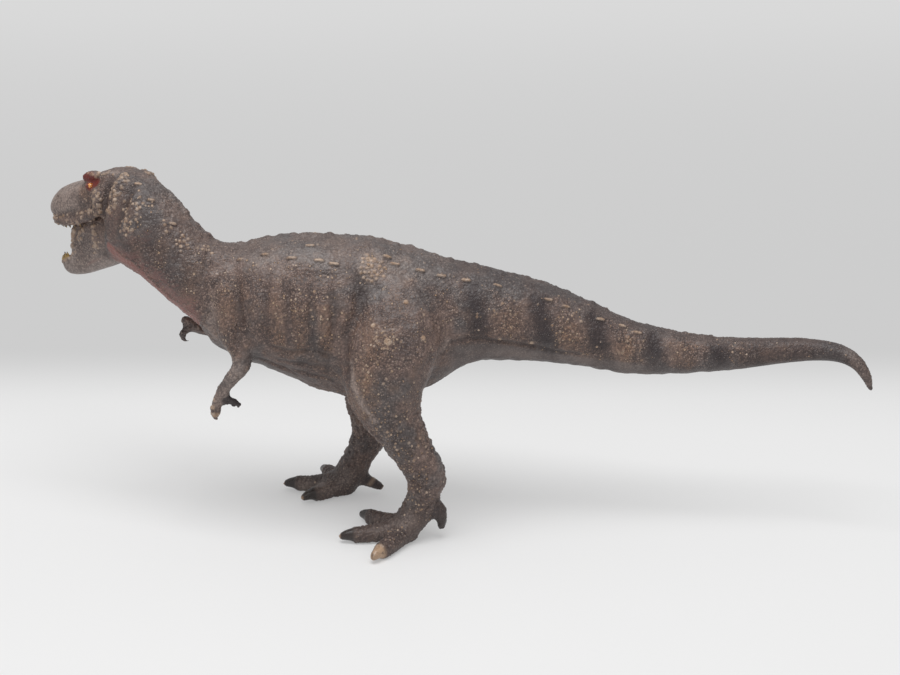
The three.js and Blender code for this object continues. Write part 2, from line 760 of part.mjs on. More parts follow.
legPoses.right = {
  columnShares: [
    [1.26, -0.02, 0.6, 0.2, 0.2],
    [1.2, -0.03, 0.64, 0.56, 0.5],
    [1.1, -0.05, 0.74, 0.86, 0.84],
    [0.96, -0.08, 0.9, 1, 1],
    [0.8, -0.13, 0.98, 0.9, 0.98],
    [0.69, -0.17, 1, 0.74, 0.86],
  ],
  shinShares: [
    [0.59, -0.18, 1, 1.04, 1.2],
    [0.47, -0.165, 0.98, 1, 1.08],
    [0.38, -0.15, 0.96, 0.93, 0.95],
    [0.31, -0.17, 0.95, 0.78, 0.85],
    [0.24, -0.215, 0.94, 0.67, 0.78],
    [0.17, -0.25, 0.93, 0.64, 0.8],
    [0.11, -0.285, 0.92, 0.66, 0.9],
    [0.06, -0.3, 0.92, 0.56, 0.8],
  ],
  toeTurnShares: [[8, 0.98], [60, 0.86], [-34, 0.72]],
  rearToeShares: [[0.1, 0.58], [0.42, 0.48], [0.8, 0.34], [1.14, 0.15]],
};

// Muscles on the outer side of the thigh: the heights that they span, then place and height across
const thighSpanShares = { floor: 0.72, low: 0.82, high: 1.06, top: 1.18 };
const thighMuscleShares = [
  [-1, 0],
  [-0.52, 0.7],
  [-0.12, -0.6],
  [0.32, 0.8],
  [0.9, 0],
];

function thighRelief(sign) {
  const { floor, low, high, top } = thighSpanShares;
  return (centre, across, rise) => {
    const height = centre.z / HIP_HEIGHT;
    const span = THREE.MathUtils.smoothstep(height, floor, low)
      * (1 - THREE.MathUtils.smoothstep(height, high, top));
    const outer = THREE.MathUtils.smoothstep(-sign * across, 0, kneeHeightShare);
    return between(thighMuscleShares, rise) * span * outer * THIGH_MUSCLE_HEIGHT;
  };
}

function legColumn(name, sign, grow) {
  const pose = legPoses[name];
  const centres = [];
  const sections = [];
  for (const [high, back, spread, foreAft, side] of pose.columnShares) {
    centres.push(vec(back * HIP_HEIGHT, sign * spread * STANCE_WIDTH / 2, high * HIP_HEIGHT));
    sections.push(vec(side * THIGH_WIDTH / 2, foreAft * THIGH_LENGTH / 2, foreAft * THIGH_LENGTH / 2));
  }
  for (const [high, back, spread, foreAft, side] of pose.shinShares) {
    centres.push(vec(back * HIP_HEIGHT, sign * spread * STANCE_WIDTH / 2, high * HIP_HEIGHT));
    sections.push(vec(side * SHIN_WIDTH / 2, foreAft * SHIN_LENGTH / 2, foreAft * SHIN_LENGTH / 2));
  }
  return loft({
    centres, sections, sides: LEG_SIDES, rings: LEG_RINGS, up: FORWARD, flow: DOWN, startShift: -grow,
    squareness: LEG_SQUARENESS, grow, relief: thighRelief(sign),
  });
}

const kneeHeightShare = 0.5;

const clawShares = [
  // along, thickness
  [-0.25, 1],
  [0.1, 1],
  [0.4, 0.96],
  [0.7, 0.84],
  [0.9, 0.64],
  [1, 0.4],
];
const clawDroopShare = 0.26;

function claw(root, direction, length, thickness) {
  const centres = clawShares.map(([along]) => root.clone()
    .addScaledVector(direction, along * length)
    .add(vec(0, 0, -clawDroopShare * length * along * along)));
  const sections = clawShares.map(([, thick]) => {
    const radius = thick * thickness / 2;
    return vec(radius, radius, radius);
  });
  return loft({ centres, sections, sides: TOE_SIDES, rings: CLAW_RINGS });
}

const toeProfileShares = [
  // along, rise above the sole (share of the toe's thickness), width, height
  [-0.12, 0.8, 0.8, 0.9],
  [0.1, 0.66, 0.98, 1],
  [0.26, 0.42, 0.88, 0.92],
  [0.4, 0.36, 0.88, 0.88],
  [0.54, 0.31, 0.76, 0.78],
  [0.66, 0.29, 0.78, 0.74],
  [0.77, 0.28, 0.7, 0.68],
  [0.85, 0.29, 0.46, 0.46],
];
const clawRootShare = { along: 0.76, high: 0.38 };

function toe(base, turn, length) {
  const direction = FORWARD.clone().applyAxisAngle(UP, THREE.MathUtils.degToRad(turn));
  const rows = toeProfileShares.map(([along, rise, width, height]) => ({
    centre: base.clone().addScaledVector(direction, along * length).setZ(rise * TOE_THICKNESS),
    section: vec(width, height, height).multiplyScalar(TOE_THICKNESS / 2),
  }));
  const body = loft({
    centres: rows.map((row) => row.centre),
    sections: rows.map((row) => row.section),
    sides: TOE_SIDES, rings: TOE_RINGS, flow: direction,
  });
  const clawRoot = base.clone()
    .addScaledVector(direction, clawRootShare.along * length)
    .setZ(clawRootShare.high * TOE_THICKNESS);
  return body.add(claw(clawRoot, direction, CLAW_LENGTH, CLAW_THICKNESS));
}

const rearToeThicknessShares = [1, 1.02, 0.98, 0.6];

// The short raised toe behind the ankle
function rearToe(name, base) {
  const centres = legPoses[name].rearToeShares.map(([behind, high]) => base.clone()
    .add(vec(behind * REAR_TOE_REACH, 0, high * REAR_TOE_REACH)));
  const sections = rearToeThicknessShares.map((share) => {
    const radius = share * REAR_TOE_THICKNESS / 2;
    return vec(radius, radius, radius);
  });
  return loft({ centres, sections, sides: TOE_SIDES, rings: TOE_RINGS, up: vec(0, 1, 0) });
}

const heelPadShare = { forward: 0.07, foreAft: 0.27, side: 0.42, high: 0.5 };

function foot(name, sign) {
  const pose = legPoses[name];
  const [, back, spread] = pose.shinShares[pose.shinShares.length - 1];
  const base = vec(back * HIP_HEIGHT, sign * spread * STANCE_WIDTH / 2, 0);
  const pad = ellipsoid(
    base.clone().setZ(heelPadShare.high * HEEL_PAD_HEIGHT)
      .addScaledVector(FORWARD, heelPadShare.forward * SHIN_LENGTH),
    vec(heelPadShare.foreAft * SHIN_LENGTH, heelPadShare.side * SHIN_WIDTH, HEEL_PAD_HEIGHT),
    CLAW_SIDES * 2,
  );
  const toes = pose.toeTurnShares.map(([turn, share]) => toe(base, -sign * turn, share * TOE_LENGTH));
  return joined([pad, ...toes, rearToe(name, base)]);
}

const hipPegPlaceShare = { back: -0.03, high: 0.98 };

function hipPeg(sign, grow) {
  const from = vec(
    hipPegPlaceShare.back * HIP_HEIGHT,
    sign * HIP_SEAM_SPREAD / 2,
    hipPegPlaceShare.high * HIP_HEIGHT,
  );
  return peg(from, vec(0, -sign, 0), {
    length: HIP_PEG_LENGTH, width: HIP_PEG_DEPTH, height: HIP_PEG_HEIGHT, grow,
  });
}

const overHead = HIP_HEIGHT + TORSO_DEPTH;

// The space between the two seam planes beside the trunk, above the knees and behind the neck
function betweenSeams(spread, gap) {
  const half = spread / 2 - gap;
  return box(
    vec(neckSeamX, -half, kneeHeightShare * HIP_HEIGHT),
    vec(TORSO_LENGTH, half, overHead),
  );
}

function leg(name, sign) {
  const column = legColumn(name, sign, 0);
  const aboveFloor = box(
    vec(-TORSO_LENGTH, -TORSO_LENGTH, 0),
    vec(TORSO_LENGTH, TORSO_LENGTH, overHead),
  );
  const whole = column.add(foot(name, sign)).intersect(aboveFloor);
  return whole.subtract(betweenSeams(HIP_SEAM_SPREAD, 0)).add(hipPeg(sign, 0));
}

function hipPocket(name, sign) {
  return legColumn(name, sign, HIP_GAP)
    .subtract(betweenSeams(HIP_SEAM_SPREAD, SEAM_GAP))
    .add(hipPeg(sign, SEAM_GAP));
}

// Arms: one bent loft each, with two clawed fingers.

const armPoses = {
  left: {
    // forward, outward, down (shares of the arm's length), thickness
    limbShares: [
      [0, -0.02, -0.22, 0.5],
      [0.02, 0.05, -0.1, 1.25],
      [0, 0.11, 0.09, 1.35],
      [-0.06, 0.19, 0.29, 1.08],
      [-0.12, 0.23, 0.43, 0.92],
      [-0.05, 0.25, 0.54, 0.88],
      [0.05, 0.26, 0.63, 0.78],
      [0.17, 0.26, 0.8, 0.66],
      [0.23, 0.26, 0.93, 0.7],
      [0.26, 0.26, 1.02, 0.45],
    ],
    // the same from the palm, in shares of the finger's length
    fingersShares: [
      [[0, 0, 0, 1], [0.1, 0, 0.2, 1.16], [0.18, 0, 0.42, 1.22], [0.19, 0, 0.6, 0.96],
        [0.11, 0, 0.76, 0.48]],
      [[0, 0, 0, 1], [-0.2, -0.05, 0.06, 1], [-0.42, -0.1, 0.1, 0.92], [-0.58, -0.14, 0.18, 0.78],
        [-0.68, -0.16, 0.28, 0.42]],
    ],
  },
  right: {
    limbShares: [
      [0, -0.02, -0.22, 0.5],
      [0.02, 0.05, -0.1, 1.2],
      [0.06, 0.12, 0.1, 1.25],
      [0.14, 0.19, 0.3, 1.05],
      [0.24, 0.22, 0.44, 0.92],
      [0.36, 0.2, 0.46, 0.85],
      [0.5, 0.13, 0.42, 0.76],
      [0.68, 0.04, 0.34, 0.64],
      [0.76, 0.01, 0.3, 0.66],
      [0.8, 0, 0.28, 0.45],
    ],
    fingersShares: [
      [[0, 0, 0, 0.9], [0.1, -0.06, -0.24, 0.9], [0.26, -0.1, -0.34, 0.84], [0.35, -0.11, -0.25, 0.7],
        [0.31, -0.12, -0.1, 0.36]],
      [[0, 0, 0, 0.9], [0.22, -0.13, 0.11, 0.9], [0.4, -0.16, 0.22, 0.84], [0.4, -0.18, 0.42, 0.7],
        [0.28, -0.18, 0.52, 0.5], [0.14, -0.18, 0.52, 0.3]],
    ],
  },
};

function shoulderPoint(sign) {
  return vec(neckSeamX + SHOULDER_SETBACK, sign * SHOULDER_SPREAD / 2, neckSeamHeight - SHOULDER_DROP);
}

function limbPoint(from, [forward, outward, down], sign, length) {
  return from.clone().add(vec(-forward, sign * outward, -down).multiplyScalar(length));
}

function limb(from, shares, { sign, length, thickness, sides, rings, grow = 0 }) {
  const centres = shares.map((row) => limbPoint(from, row, sign, length));
  const sections = shares.map(([, , , thick]) => {
    const radius = thick * thickness / 2;
    return vec(radius, radius, radius);
  });
  return loft({ centres, sections, sides, rings, up: vec(0, sign, 0), startShift: -grow, grow });
}

function armLoft(name, sign, grow) {
  return limb(shoulderPoint(sign), armPoses[name].limbShares, {
    sign, length: ARM_LENGTH, thickness: ARM_THICKNESS, sides: ARM_SIDES, rings: ARM_RINGS, grow,
  });
}

function fingers(name, sign) {
  const { limbShares, fingersShares } = armPoses[name];
  const palm = limbPoint(shoulderPoint(sign), limbShares[limbShares.length - 2], sign, ARM_LENGTH);
  return fingersShares.map((rows) => limb(palm, rows, {
    sign, length: FINGER_LENGTH, thickness: FINGER_THICKNESS, sides: CLAW_SIDES, rings: FINGER_RINGS,
  }));
}

function armPeg(sign, grow) {
  return peg(shoulderPoint(sign), vec(0, -sign, 0), {
    length: ARM_PEG_LENGTH, width: ARM_PEG_WIDTH, height: ARM_PEG_HEIGHT, grow,
  });
}

function arm(name, sign) {
  return joined([armLoft(name, sign, 0), ...fingers(name, sign)])
    .subtract(betweenSeams(SHOULDER_SPREAD, 0))
    .add(armPeg(sign, 0));
}

function armPocket(name, sign) {
  return armLoft(name, sign, SEAM_GAP)
    .subtract(betweenSeams(SHOULDER_SPREAD, SEAM_GAP))
    .add(armPeg(sign, SEAM_GAP));
}

// Torso and tail, with room for what is glued into them

const pockets = [
  hipPocket('left', -1), hipPocket('right', 1), armPocket('left', -1), armPocket('right', 1),
];

function torso() {
  const stops = [0, ...ribShares.map(([share]) => share), ...hipStopShares].map(torsoStop);
  const body = loft({
    ...trunkSkin, rings: stops.length - 1, stops, start: neckSeam, end: tailSeam,
    startShift: SEAM_GAP / 2, endShift: -SEAM_GAP / 2,
  });
  return cutBy(body, [...pockets, trunkPeg(neckSeam, 1, SEAM_GAP), trunkPeg(tailSeam, -1, SEAM_GAP)]);
}

function tail() {
  const body = loft({
    ...trunkSkin, rings: TAIL_RINGS, start: tailSeam, end: 1, startShift: SEAM_GAP / 2,
  });
  return cutBy(body, pockets).add(trunkPeg(tailSeam, -1, 0));
}

function hingePin() {
  return roundBar(vec(0, 0, 0), HINGE_PIN_DIAMETER / 2, HINGE_PIN_LENGTH / 2);
}

const HIDE = { color: 0x6e6258, roughness: 0.62, metalness: 0 };
const JAW_SKIN = { color: 0x6b6361, roughness: 0.55, metalness: 0 };
const FEET = { color: 0x55493f, roughness: 0.6, metalness: 0 };
const STEEL = { color: 0x9a9a98, roughness: 0.35, metalness: 1 };

function named(name, solid, finish) {
  const mesh = new THREE.Mesh(toGeometry(solid), new THREE.MeshStandardMaterial(finish));
  mesh.name = name;
  return mesh;
}

const figure = new THREE.Group();
figure.add(named('torso', torso(), HIDE));
figure.add(named('neck_and_head', neckAndHead(), HIDE));
figure.add(named('tail', tail(), HIDE));
figure.add(named('left_leg', leg('left', -1), FEET));
figure.add(named('right_leg', leg('right', 1), FEET));
figure.add(named('left_arm', arm('left', -1), FEET));
figure.add(named('right_arm', arm('right', 1), FEET));

const head = new THREE.Group();
head.applyMatrix4(headMatrix());
head.add(named('jaw_hinge_pin', hingePin(), STEEL));
const jaw = named('lower_jaw', lowerJaw(), JAW_SKIN);
jaw.rotation.y = THREE.MathUtils.degToRad(JAW_GAPE_ANGLE);
head.add(jaw);
figure.add(head);

// The origin is on the floor, below the middle of the figure's box
figure.updateMatrixWorld(true);
const extent = new THREE.Box3().setFromObject(figure, true);
const middle = extent.getCenter(vec(0, 0, 0));
figure.position.set(-middle.x, -middle.y, -extent.min.z);

export default figure;
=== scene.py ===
"""A toy dinosaur figure: its sculpted and painted skin, jaw, teeth, eyes, pin and stage.

Laid out as an add-on and run as a script. Sculpting is done in figure millimetres: x runs from the
hip towards the tail tip, y from the sagittal plane towards the figure's right, z up from the floor.
"""

import functools
import json
import math

import bmesh
import bpy
import numpy as np
from bpy.props import FloatProperty, FloatVectorProperty, IntProperty, PointerProperty
from mathutils import Matrix, Vector, kdtree, noise
from mathutils.bvhtree import BVHTree


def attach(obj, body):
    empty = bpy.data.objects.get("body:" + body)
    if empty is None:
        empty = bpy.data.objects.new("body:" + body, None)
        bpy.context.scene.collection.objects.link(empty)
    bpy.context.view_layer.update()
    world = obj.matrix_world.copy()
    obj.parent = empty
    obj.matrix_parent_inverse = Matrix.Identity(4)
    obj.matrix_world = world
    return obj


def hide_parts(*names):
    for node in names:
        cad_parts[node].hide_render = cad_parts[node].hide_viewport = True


bl_info = {
    "name": "Toy dinosaur figure",
    "version": (1, 0, 0),
    "blender": (4, 5, 0),
    "location": "View3D > Sidebar > Dinosaur",
    "description": "Sculpts and paints a toy dinosaur figure around its moulded pieces",
    "category": "Object",
}

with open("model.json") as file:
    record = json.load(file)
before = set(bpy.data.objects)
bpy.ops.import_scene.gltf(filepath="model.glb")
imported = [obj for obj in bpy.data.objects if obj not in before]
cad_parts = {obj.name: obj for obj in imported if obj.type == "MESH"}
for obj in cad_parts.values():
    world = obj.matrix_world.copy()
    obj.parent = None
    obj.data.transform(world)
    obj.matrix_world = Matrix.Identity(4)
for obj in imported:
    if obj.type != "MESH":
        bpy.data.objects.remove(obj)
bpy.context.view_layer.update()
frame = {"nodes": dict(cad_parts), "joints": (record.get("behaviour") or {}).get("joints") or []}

MM = 0.001
MERGE_DISTANCE = 1e-6

# The jaw's hinge ties figure millimetres to the frame's metres
HINGE = Vector((-94.5, 9.7, 108.94))
HINGE_JOINT = frame["joints"][0]
HOME = Vector(HINGE_JOINT["pos_m"]) - HINGE * MM
HEAD_YAW = math.radians(150)
HEAD_PITCH = math.radians(13)
JAW_GAPE = math.radians(14)
HEAD = (Matrix.Translation(HINGE) @ Matrix.Rotation(HEAD_YAW, 4, "Z")
        @ Matrix.Rotation(HEAD_PITCH, 4, "Y"))
JAW = HEAD @ Matrix.Rotation(JAW_GAPE, 4, "Y")

SKULL_SIZE = Vector((42.0, 23.0, 17.0))
SKULL_SETBACK = 4.5
SKULL_LIFT = 4.0
JAW_SIZE = Vector((39.5, 16.8, 13.2))

BODY_NODES = ("torso", "tail", "left_leg", "right_leg", "left_arm", "right_arm")
# Where the neck ends in the body's skin, and the torso in the head's
NECK_CROP = -91.0
TORSO_CROP = -52.0
SLOT_OF = {
    "torso": "body_skin",
    "neck_and_head": "head_skin",
    "tail": "tail_skin",
    "left_leg": "leg_skin",
    "right_leg": "leg_skin",
    "left_arm": "arm_skin",
    "right_arm": "arm_skin",
    "lower_jaw": "jaw_skin",
}
MASKS = ("relief", "pick", "light", "speckle", "warm", "pale", "stripe", "cool", "throat", "brow",
         "claw", "tip", "flesh", "wash", "foot")

# How far the moulded pieces swell before they are fused, and sink back afterwards
SWELL = 0.32
# Facets with edges of this length are rounded off most, by how much a round, and the rounds
FACET = 4.8
RELAX = 0.62
BODY_ROUNDS = 40
HEAD_ROUNDS = 60
# How far a skin laps under its neighbour, how deep it sinks there, and how deep its border turns in
SEAM_LAP = 1.1
SEAM_SINK = 0.3
BORDER_DEPTH = 1.2
# How far from a wart's centre the skin may lie, and how close warts lie, in radii
SNAP = 1.2
WART_SPACING = 1.85
# Lines laid on the skin touch it this often
LAY_STEP = 3.0
# Least share of the floor that glows for the camera: painted light that lifts the shadows on it
SOFTER_SHADOW = 0.36
# In metres behind the frame's origin: where the lit floor ends, and where the backdrop grows paler
LIT_FLOOR_END = (0.07, 0.21)
BACKDROP = (0.2, 2.4)
BACKDROP_PALER = 1.14
# How far the hide's grain and the small pieces' grain stand up, in metres
HIDE_BUMPS = 0.0004
SMALL_BUMPS = 0.0001


def skull_point(along, across, high):
    """A point of the skull from shares of its size, in figure millimetres."""
    return HEAD @ Vector((
        along * SKULL_SIZE.x - SKULL_SETBACK,
        across * SKULL_SIZE.y / 2,
        high * SKULL_SIZE.z + SKULL_LIFT,
    ))


def jaw_point(along, across, high):
    """A point of the opened lower jaw from shares of its size, in figure millimetres."""
    return JAW @ Vector((along * JAW_SIZE.x, across * JAW_SIZE.y / 2, high * JAW_SIZE.z))


def two_lines(rows, place, lift=0.0):
    """The left and the right line through rows of shares along, across and high."""
    return [[tuple(place(along, side * across, high + lift)) for along, across, high in rows]
            for side in (1, -1)]


def in_frame_of(matrix, points):
    """The points in the head's or jaw's own frame: forward, to its left and up."""
    inverse = np.array(matrix.inverted())
    return points @ inverse[:3, :3].T + inverse[:3, 3]


# ---- settings ----


def amount(name, description, value, **kind):
    return FloatProperty(name=name, description=description, default=value, **kind)


def colour(name, description, value):
    return FloatVectorProperty(
        name=name, description=description, subtype="COLOR", size=3, min=0, max=1, default=value)


class SkinSettings(bpy.types.PropertyGroup):
    """How finely the skin is modelled and how high its scales stand, in millimetres."""

    body_voxel: amount("Body voxel", "Edge length of the fused body before it is divided", 0.82,
                       min=0.4, max=2.0)
    head_voxel: amount("Head voxel", "Edge length of the head's and jaw's skin", 0.345,
                       min=0.2, max=1.5)
    large_scale: amount("Large scale", "Width of a large scale", 1.45, min=0.5, max=4.0)
    small_scale: amount("Small scale", "Width of a small scale", 0.95, min=0.3, max=3.0)
    large_height: amount("Large scale height", "How far it stands up", 0.3, min=0.0, max=1.0)
    small_height: amount("Small scale height", "How far it stands up", 0.18, min=0.0, max=1.0)
    seed: IntProperty(name="Seed", description="Start of the random places", default=7, min=0)


class PaintSettings(bpy.types.PropertyGroup):
    """The figure's paints."""

    hide: colour("Hide", "Grey-brown of the whole skin", (0.205, 0.138, 0.114))
    # Belly's paint and random patches; laid on upward-facing tops it is painted light, a darker
    # bluish tone for the sheen and shade there
    cool: colour("Cool hide", "Bluish grey of the back and the belly", (0.130, 0.115, 0.112))
    warm: colour("Warm hide", "Brown patches on the flanks and thighs", (0.245, 0.145, 0.098))
    # Dark wash between the scales, also laid as painted shade in grooves, hollows and round dots
    wash: colour("Wash", "Dark wash between the scales", (0.042, 0.029, 0.028))
    dry: colour("Dry brush", "Light beige on the tops of scales", (0.370, 0.275, 0.225))
    wart: colour("Wart", "Pale paint on warts and long scales", (0.520, 0.400, 0.310))
    ochre: colour("Ochre", "Brownish paint on part of the dots", (0.340, 0.212, 0.130))
    # Mauve-beige paint; on the jaw's underside it is partly painted light reflected from the floor
    pale: colour("Pale hide", "Mauve-beige of the snout, chin and hips", (0.360, 0.285, 0.250))
    # Dark paint of the tail's bands, also laid as painted shadow below the long scales
    stripe: colour("Stripe", "Dark bands of the tail", (0.025, 0.017, 0.019))
    throat: colour("Throat", "Pink of the throat", (0.270, 0.118, 0.100))
    brow: colour("Brow", "Red of the brow", (0.125, 0.014, 0.009))
    foot: colour("Foot", "Dark brown of the feet", (0.096, 0.067, 0.057))
    claw: colour("Claw", "Near-black brown of the claws", (0.032, 0.023, 0.021))
    claw_tip: colour("Claw tip", "Pale tip of the claws", (0.450, 0.300, 0.195))
    flesh: colour("Flesh", "Inside of the mouth", (0.160, 0.060, 0.045))
    tooth: colour("Tooth", "Yellowed teeth", (0.420, 0.260, 0.070))
    iris: colour("Iris", "Golden orange eye", (0.700, 0.250, 0.030))


class StageSettings(bpy.types.PropertyGroup):
    """The camera, floor and light."""

    lens: amount("Lens", "Focal length", 60.28, unit="CAMERA")
    camera_height: amount("Camera height", "Height of the lens", 0.2245, unit="LENGTH")
    camera_distance: amount("Camera distance", "Distance from the figure's middle plane", 0.512,
                            unit="LENGTH")
    camera_aside: amount("Camera aside", "How far behind the hips the camera stands", 0.0168,
                         unit="LENGTH")
    camera_pitch: amount("Camera pitch", "How far the camera looks down", math.radians(17),
                         subtype="ANGLE")
    floor: colour("Floor", "Pale floor", (0.80, 0.80, 0.80))
    far: colour("Far floor", "Floor where it meets the wall", (0.61, 0.61, 0.61))
    near: colour("Near floor", "Tone that lightens the shadows on the floor", (0.84, 0.84, 0.84))
    world_light: amount("World light", "Light from all round", 0.55)
    key_light: amount("Key light", "Power of the lamp overhead", 5.3)


# ---- meshes ----


def figure_mesh(node, swell=0.0):
    """A merged copy of a moulded piece in figure millimetres, swollen along its normals."""
    bm = bmesh.new()
    bm.from_mesh(frame["nodes"][node].data)
    bmesh.ops.remove_doubles(bm, verts=bm.verts, dist=MERGE_DISTANCE)
    bmesh.ops.transform(bm, matrix=to_figure(), verts=bm.verts)
    bm.normal_update()
    if swell:
        for vertex in bm.verts:
            vertex.co += vertex.normal * swell
    return bm


def to_figure():
    return Matrix.Scale(1 / MM, 4) @ Matrix.Translation(-HOME)


def to_frame():
    return Matrix.Translation(HOME) @ Matrix.Scale(MM, 4)


def new_object(name, bm):
    mesh = bpy.data.meshes.new(name)
    bm.to_mesh(mesh)
    bm.free()
    obj = bpy.data.objects.new(name, mesh)
    bpy.context.scene.collection.objects.link(obj)
    return obj


def crop(bm, x, side):
    """Cuts off what lies beyond a plane across the figure, and closes the cut."""
    everything = bm.verts[:] + bm.edges[:] + bm.faces[:]
    bmesh.ops.bisect_plane(
        bm, geom=everything, plane_co=(x, 0, 0), plane_no=(side, 0, 0), clear_outer=True)
    rim = [edge for edge in bm.edges if edge.is_boundary]
    if rim:
        bmesh.ops.holes_fill(bm, edges=rim, sides=0)


def fused(name, nodes, voxel, crops=None):
    """One skin round several moulded pieces, made of even quads."""
    bm = bmesh.new()
    for node in nodes:
        part = figure_mesh(node, SWELL)
        for x, side in (crops or {}).get(node, ()):
            crop(part, x, side)
        mesh = bpy.data.meshes.new("part")
        part.to_mesh(mesh)
        part.free()
        bm.from_mesh(mesh)
        bpy.data.meshes.remove(mesh)
    obj = new_object(name, bm)
    remesh = obj.modifiers.new("Even skin", "REMESH")
    remesh.mode = "VOXEL"
    remesh.voxel_size = voxel
    remesh.use_smooth_shade = True
    apply_modifiers(obj)
    keep_largest(obj)
    return obj


def apply_modifiers(obj):
    graph = bpy.context.evaluated_depsgraph_get()
    mesh = bpy.data.meshes.new_from_object(obj.evaluated_get(graph))
    old = obj.data
    obj.modifiers.clear()
    obj.data = mesh
    bpy.data.meshes.remove(old)


def divided(obj):
    """Splits each face of the skin in four and keeps its form."""
    subdivision = obj.modifiers.new("Divide", "SUBSURF")
    subdivision.levels = 1
    subdivision.render_levels = 1
    apply_modifiers(obj)


def read(collection, key, width, kind=np.float32):
    values = np.empty(len(collection) * width, kind)
    collection.foreach_get(key, values)
    return values.reshape(-1, width) if width > 1 else values


def keep_largest(obj):
    """Leaves only the largest island, which drops the voids round pegs and sockets."""
    mesh = obj.data
    edges = read(mesh.edges, "vertices", 2, np.int32)
    label = np.arange(len(mesh.vertices))
    while True:
        low = np.minimum(label[edges[:, 0]], label[edges[:, 1]])
        lower = label.copy()
        np.minimum.at(lower, edges[:, 0], low)
        np.minimum.at(lower, edges[:, 1], low)
        lower = lower[lower]
        if (lower == label).all():
            break
        label = lower
    names, counts = np.unique(label, return_counts=True)
    if len(names) == 1:
        return
    keep = names[counts.argmax()]
    bm = bmesh.new()
    bm.from_mesh(mesh)
    bm.verts.ensure_lookup_table()
    stray = [bm.verts[i] for i in np.nonzero(label != keep)[0]]
    bmesh.ops.delete(bm, geom=stray, context="VERTS")
    bm.to_mesh(mesh)
    bm.free()


class Clay:
    """The points of a fine mesh in figure millimetres, to be pushed and smoothed."""

    def __init__(self, obj):
        self.obj = obj
        self.mesh = obj.data
        self.points = read(self.mesh.vertices, "co", 3).astype(float)
        self.edges = read(self.mesh.edges, "vertices", 2, np.int32)
        self.degree = np.bincount(self.edges.ravel(), minlength=len(self.points)).astype(float)
        self.tree = None

    def zeros(self):
        return np.zeros(len(self.points))

    def around(self, values):
        """The mean of each point's neighbours."""
        first, second = self.edges[:, 0], self.edges[:, 1]
        count = len(self.points)
        columns = values.reshape(count, -1)
        mean = np.empty_like(columns)
        for i in range(columns.shape[1]):
            column = columns[:, i]
            total = np.bincount(first, column[second], count)
            total += np.bincount(second, column[first], count)
            mean[:, i] = total / self.degree
        return mean.reshape(values.shape)

    def on_skin(self, line):
        """The line, divided finely and laid on the skin."""
        run = np.asarray(line, float).reshape(-1, 3)
        if len(run) > 1:
            shares = np.linspace(0, 1, 2 + int(line_length(run) / LAY_STEP))
            run = np.array([along_line(run, share) for share in shares])
        if self.tree is None:
            self.tree = kdtree.KDTree(len(self.points))
            for i, point in enumerate(self.points.tolist()):
                self.tree.insert(point, i)
            self.tree.balance()
        return np.array([self.points[self.tree.find(point)[1]] for point in run.tolist()])

    def relax(self, strength, rounds):
        for _ in range(rounds):
            self.points += strength[:, None] * (self.around(self.points) - self.points)

    def spread(self, values, rounds):
        for _ in range(rounds):
            values = 0.5 * values + 0.5 * self.around(values)
        return values

    def normals(self):
        self.write()
        return read(self.mesh.vertex_normals, "vector", 3).astype(float)

    def push(self, amount):
        self.points += self.normals() * amount[:, None]

    def write(self):
        self.mesh.vertices.foreach_set("co", self.points.astype(np.float32).ravel())
        self.mesh.update()


def lengths(vectors):
    return np.linalg.norm(vectors, axis=1)


def line_length(line):
    return lengths(np.diff(line, axis=0)).sum()


def most(*masks):
    """The highest of several masks at each point."""
    return functools.reduce(np.maximum, masks)


def lift(field, places, values):
    """Raises a field to the values at some places."""
    field[places] = np.maximum(field[places], values)


def bell(distance, radius):
    """1 on the line, falling smoothly to 0 at the radius."""
    share = np.clip(distance / radius, 0, 1)
    return (1 - share * share) ** 2


def along_line(line, share):
    """The point at a share of a polyline."""
    places = np.linspace(0, 1, len(line))
    return np.array([np.interp(share, places, line[:, i]) for i in range(3)])


def near_line(points, line, reach):
    """The points within reach of a line, their distances from it, and how far along they lie."""
    line = np.asarray(line, float).reshape(-1, 3)
    low = line.min(0) - reach
    high = line.max(0) + reach
    inside = np.nonzero(((points >= low) & (points <= high)).all(1))[0]
    near = points[inside]
    if len(line) == 1:
        return inside, lengths(near - line[0]), np.zeros(len(inside))
    best = np.full(len(inside), np.inf)
    place = np.zeros(len(inside))
    for i in range(len(line) - 1):
        start, run = line[i], line[i + 1] - line[i]
        share = np.clip(((near - start) @ run) / (run @ run), 0, 1)
        distance = lengths(near - start - share[:, None] * run)
        closer = distance < best
        best[closer] = distance[closer]
        place[closer] = (i + share[closer]) / (len(line) - 1)
    return inside, best, place


def line_field(points, line, radius, height, taper=True):
    """A ridge or, with a negative height, a groove along a line."""
    field = np.zeros(len(points))
    inside, distance, place = near_line(points, line, radius)
    swell = bell(distance, radius)
    if taper and len(line) > 1:
        swell *= 0.35 + 0.65 * np.sin(np.pi * np.clip(place, 0.02, 0.98))
    field[inside] = height * swell
    return field


def mask_of(points, strokes):
    """The strongest of several soft strokes at each point: rows of line, radius and strength."""
    mask = np.zeros(len(points))
    for line, radius, strength in strokes:
        mask = np.maximum(mask, line_field(points, line, radius, strength, taper=False))
    return mask


def step(low, high, values):
    share = np.clip((values - low) / (high - low), 0, 1)
    return share * share * (3 - 2 * share)


def fade(low, high, values):
    return 1 - step(low, high, values)


def scale_field(points, width, seed):
    """Domed scales: height from 0 in the grooves to 1 on the tops, and a number per scale."""
    shift = np.array((seed * 17.3, seed * 5.1, seed * 9.7))
    heights = np.empty(len(points))
    picks = np.empty(len(points))
    cells = (points / width + shift).tolist()
    for i, cell in enumerate(cells):
        distances, centres = noise.voronoi(cell)
        heights[i] = distances[1] - distances[0]
        centre = centres[0]
        value = math.sin(centre[0] * 12.9898 + centre[1] * 78.233 + centre[2] * 37.719) * 43758.5453
        picks[i] = value - math.floor(value)
    return step(0.0, 0.42, heights), picks


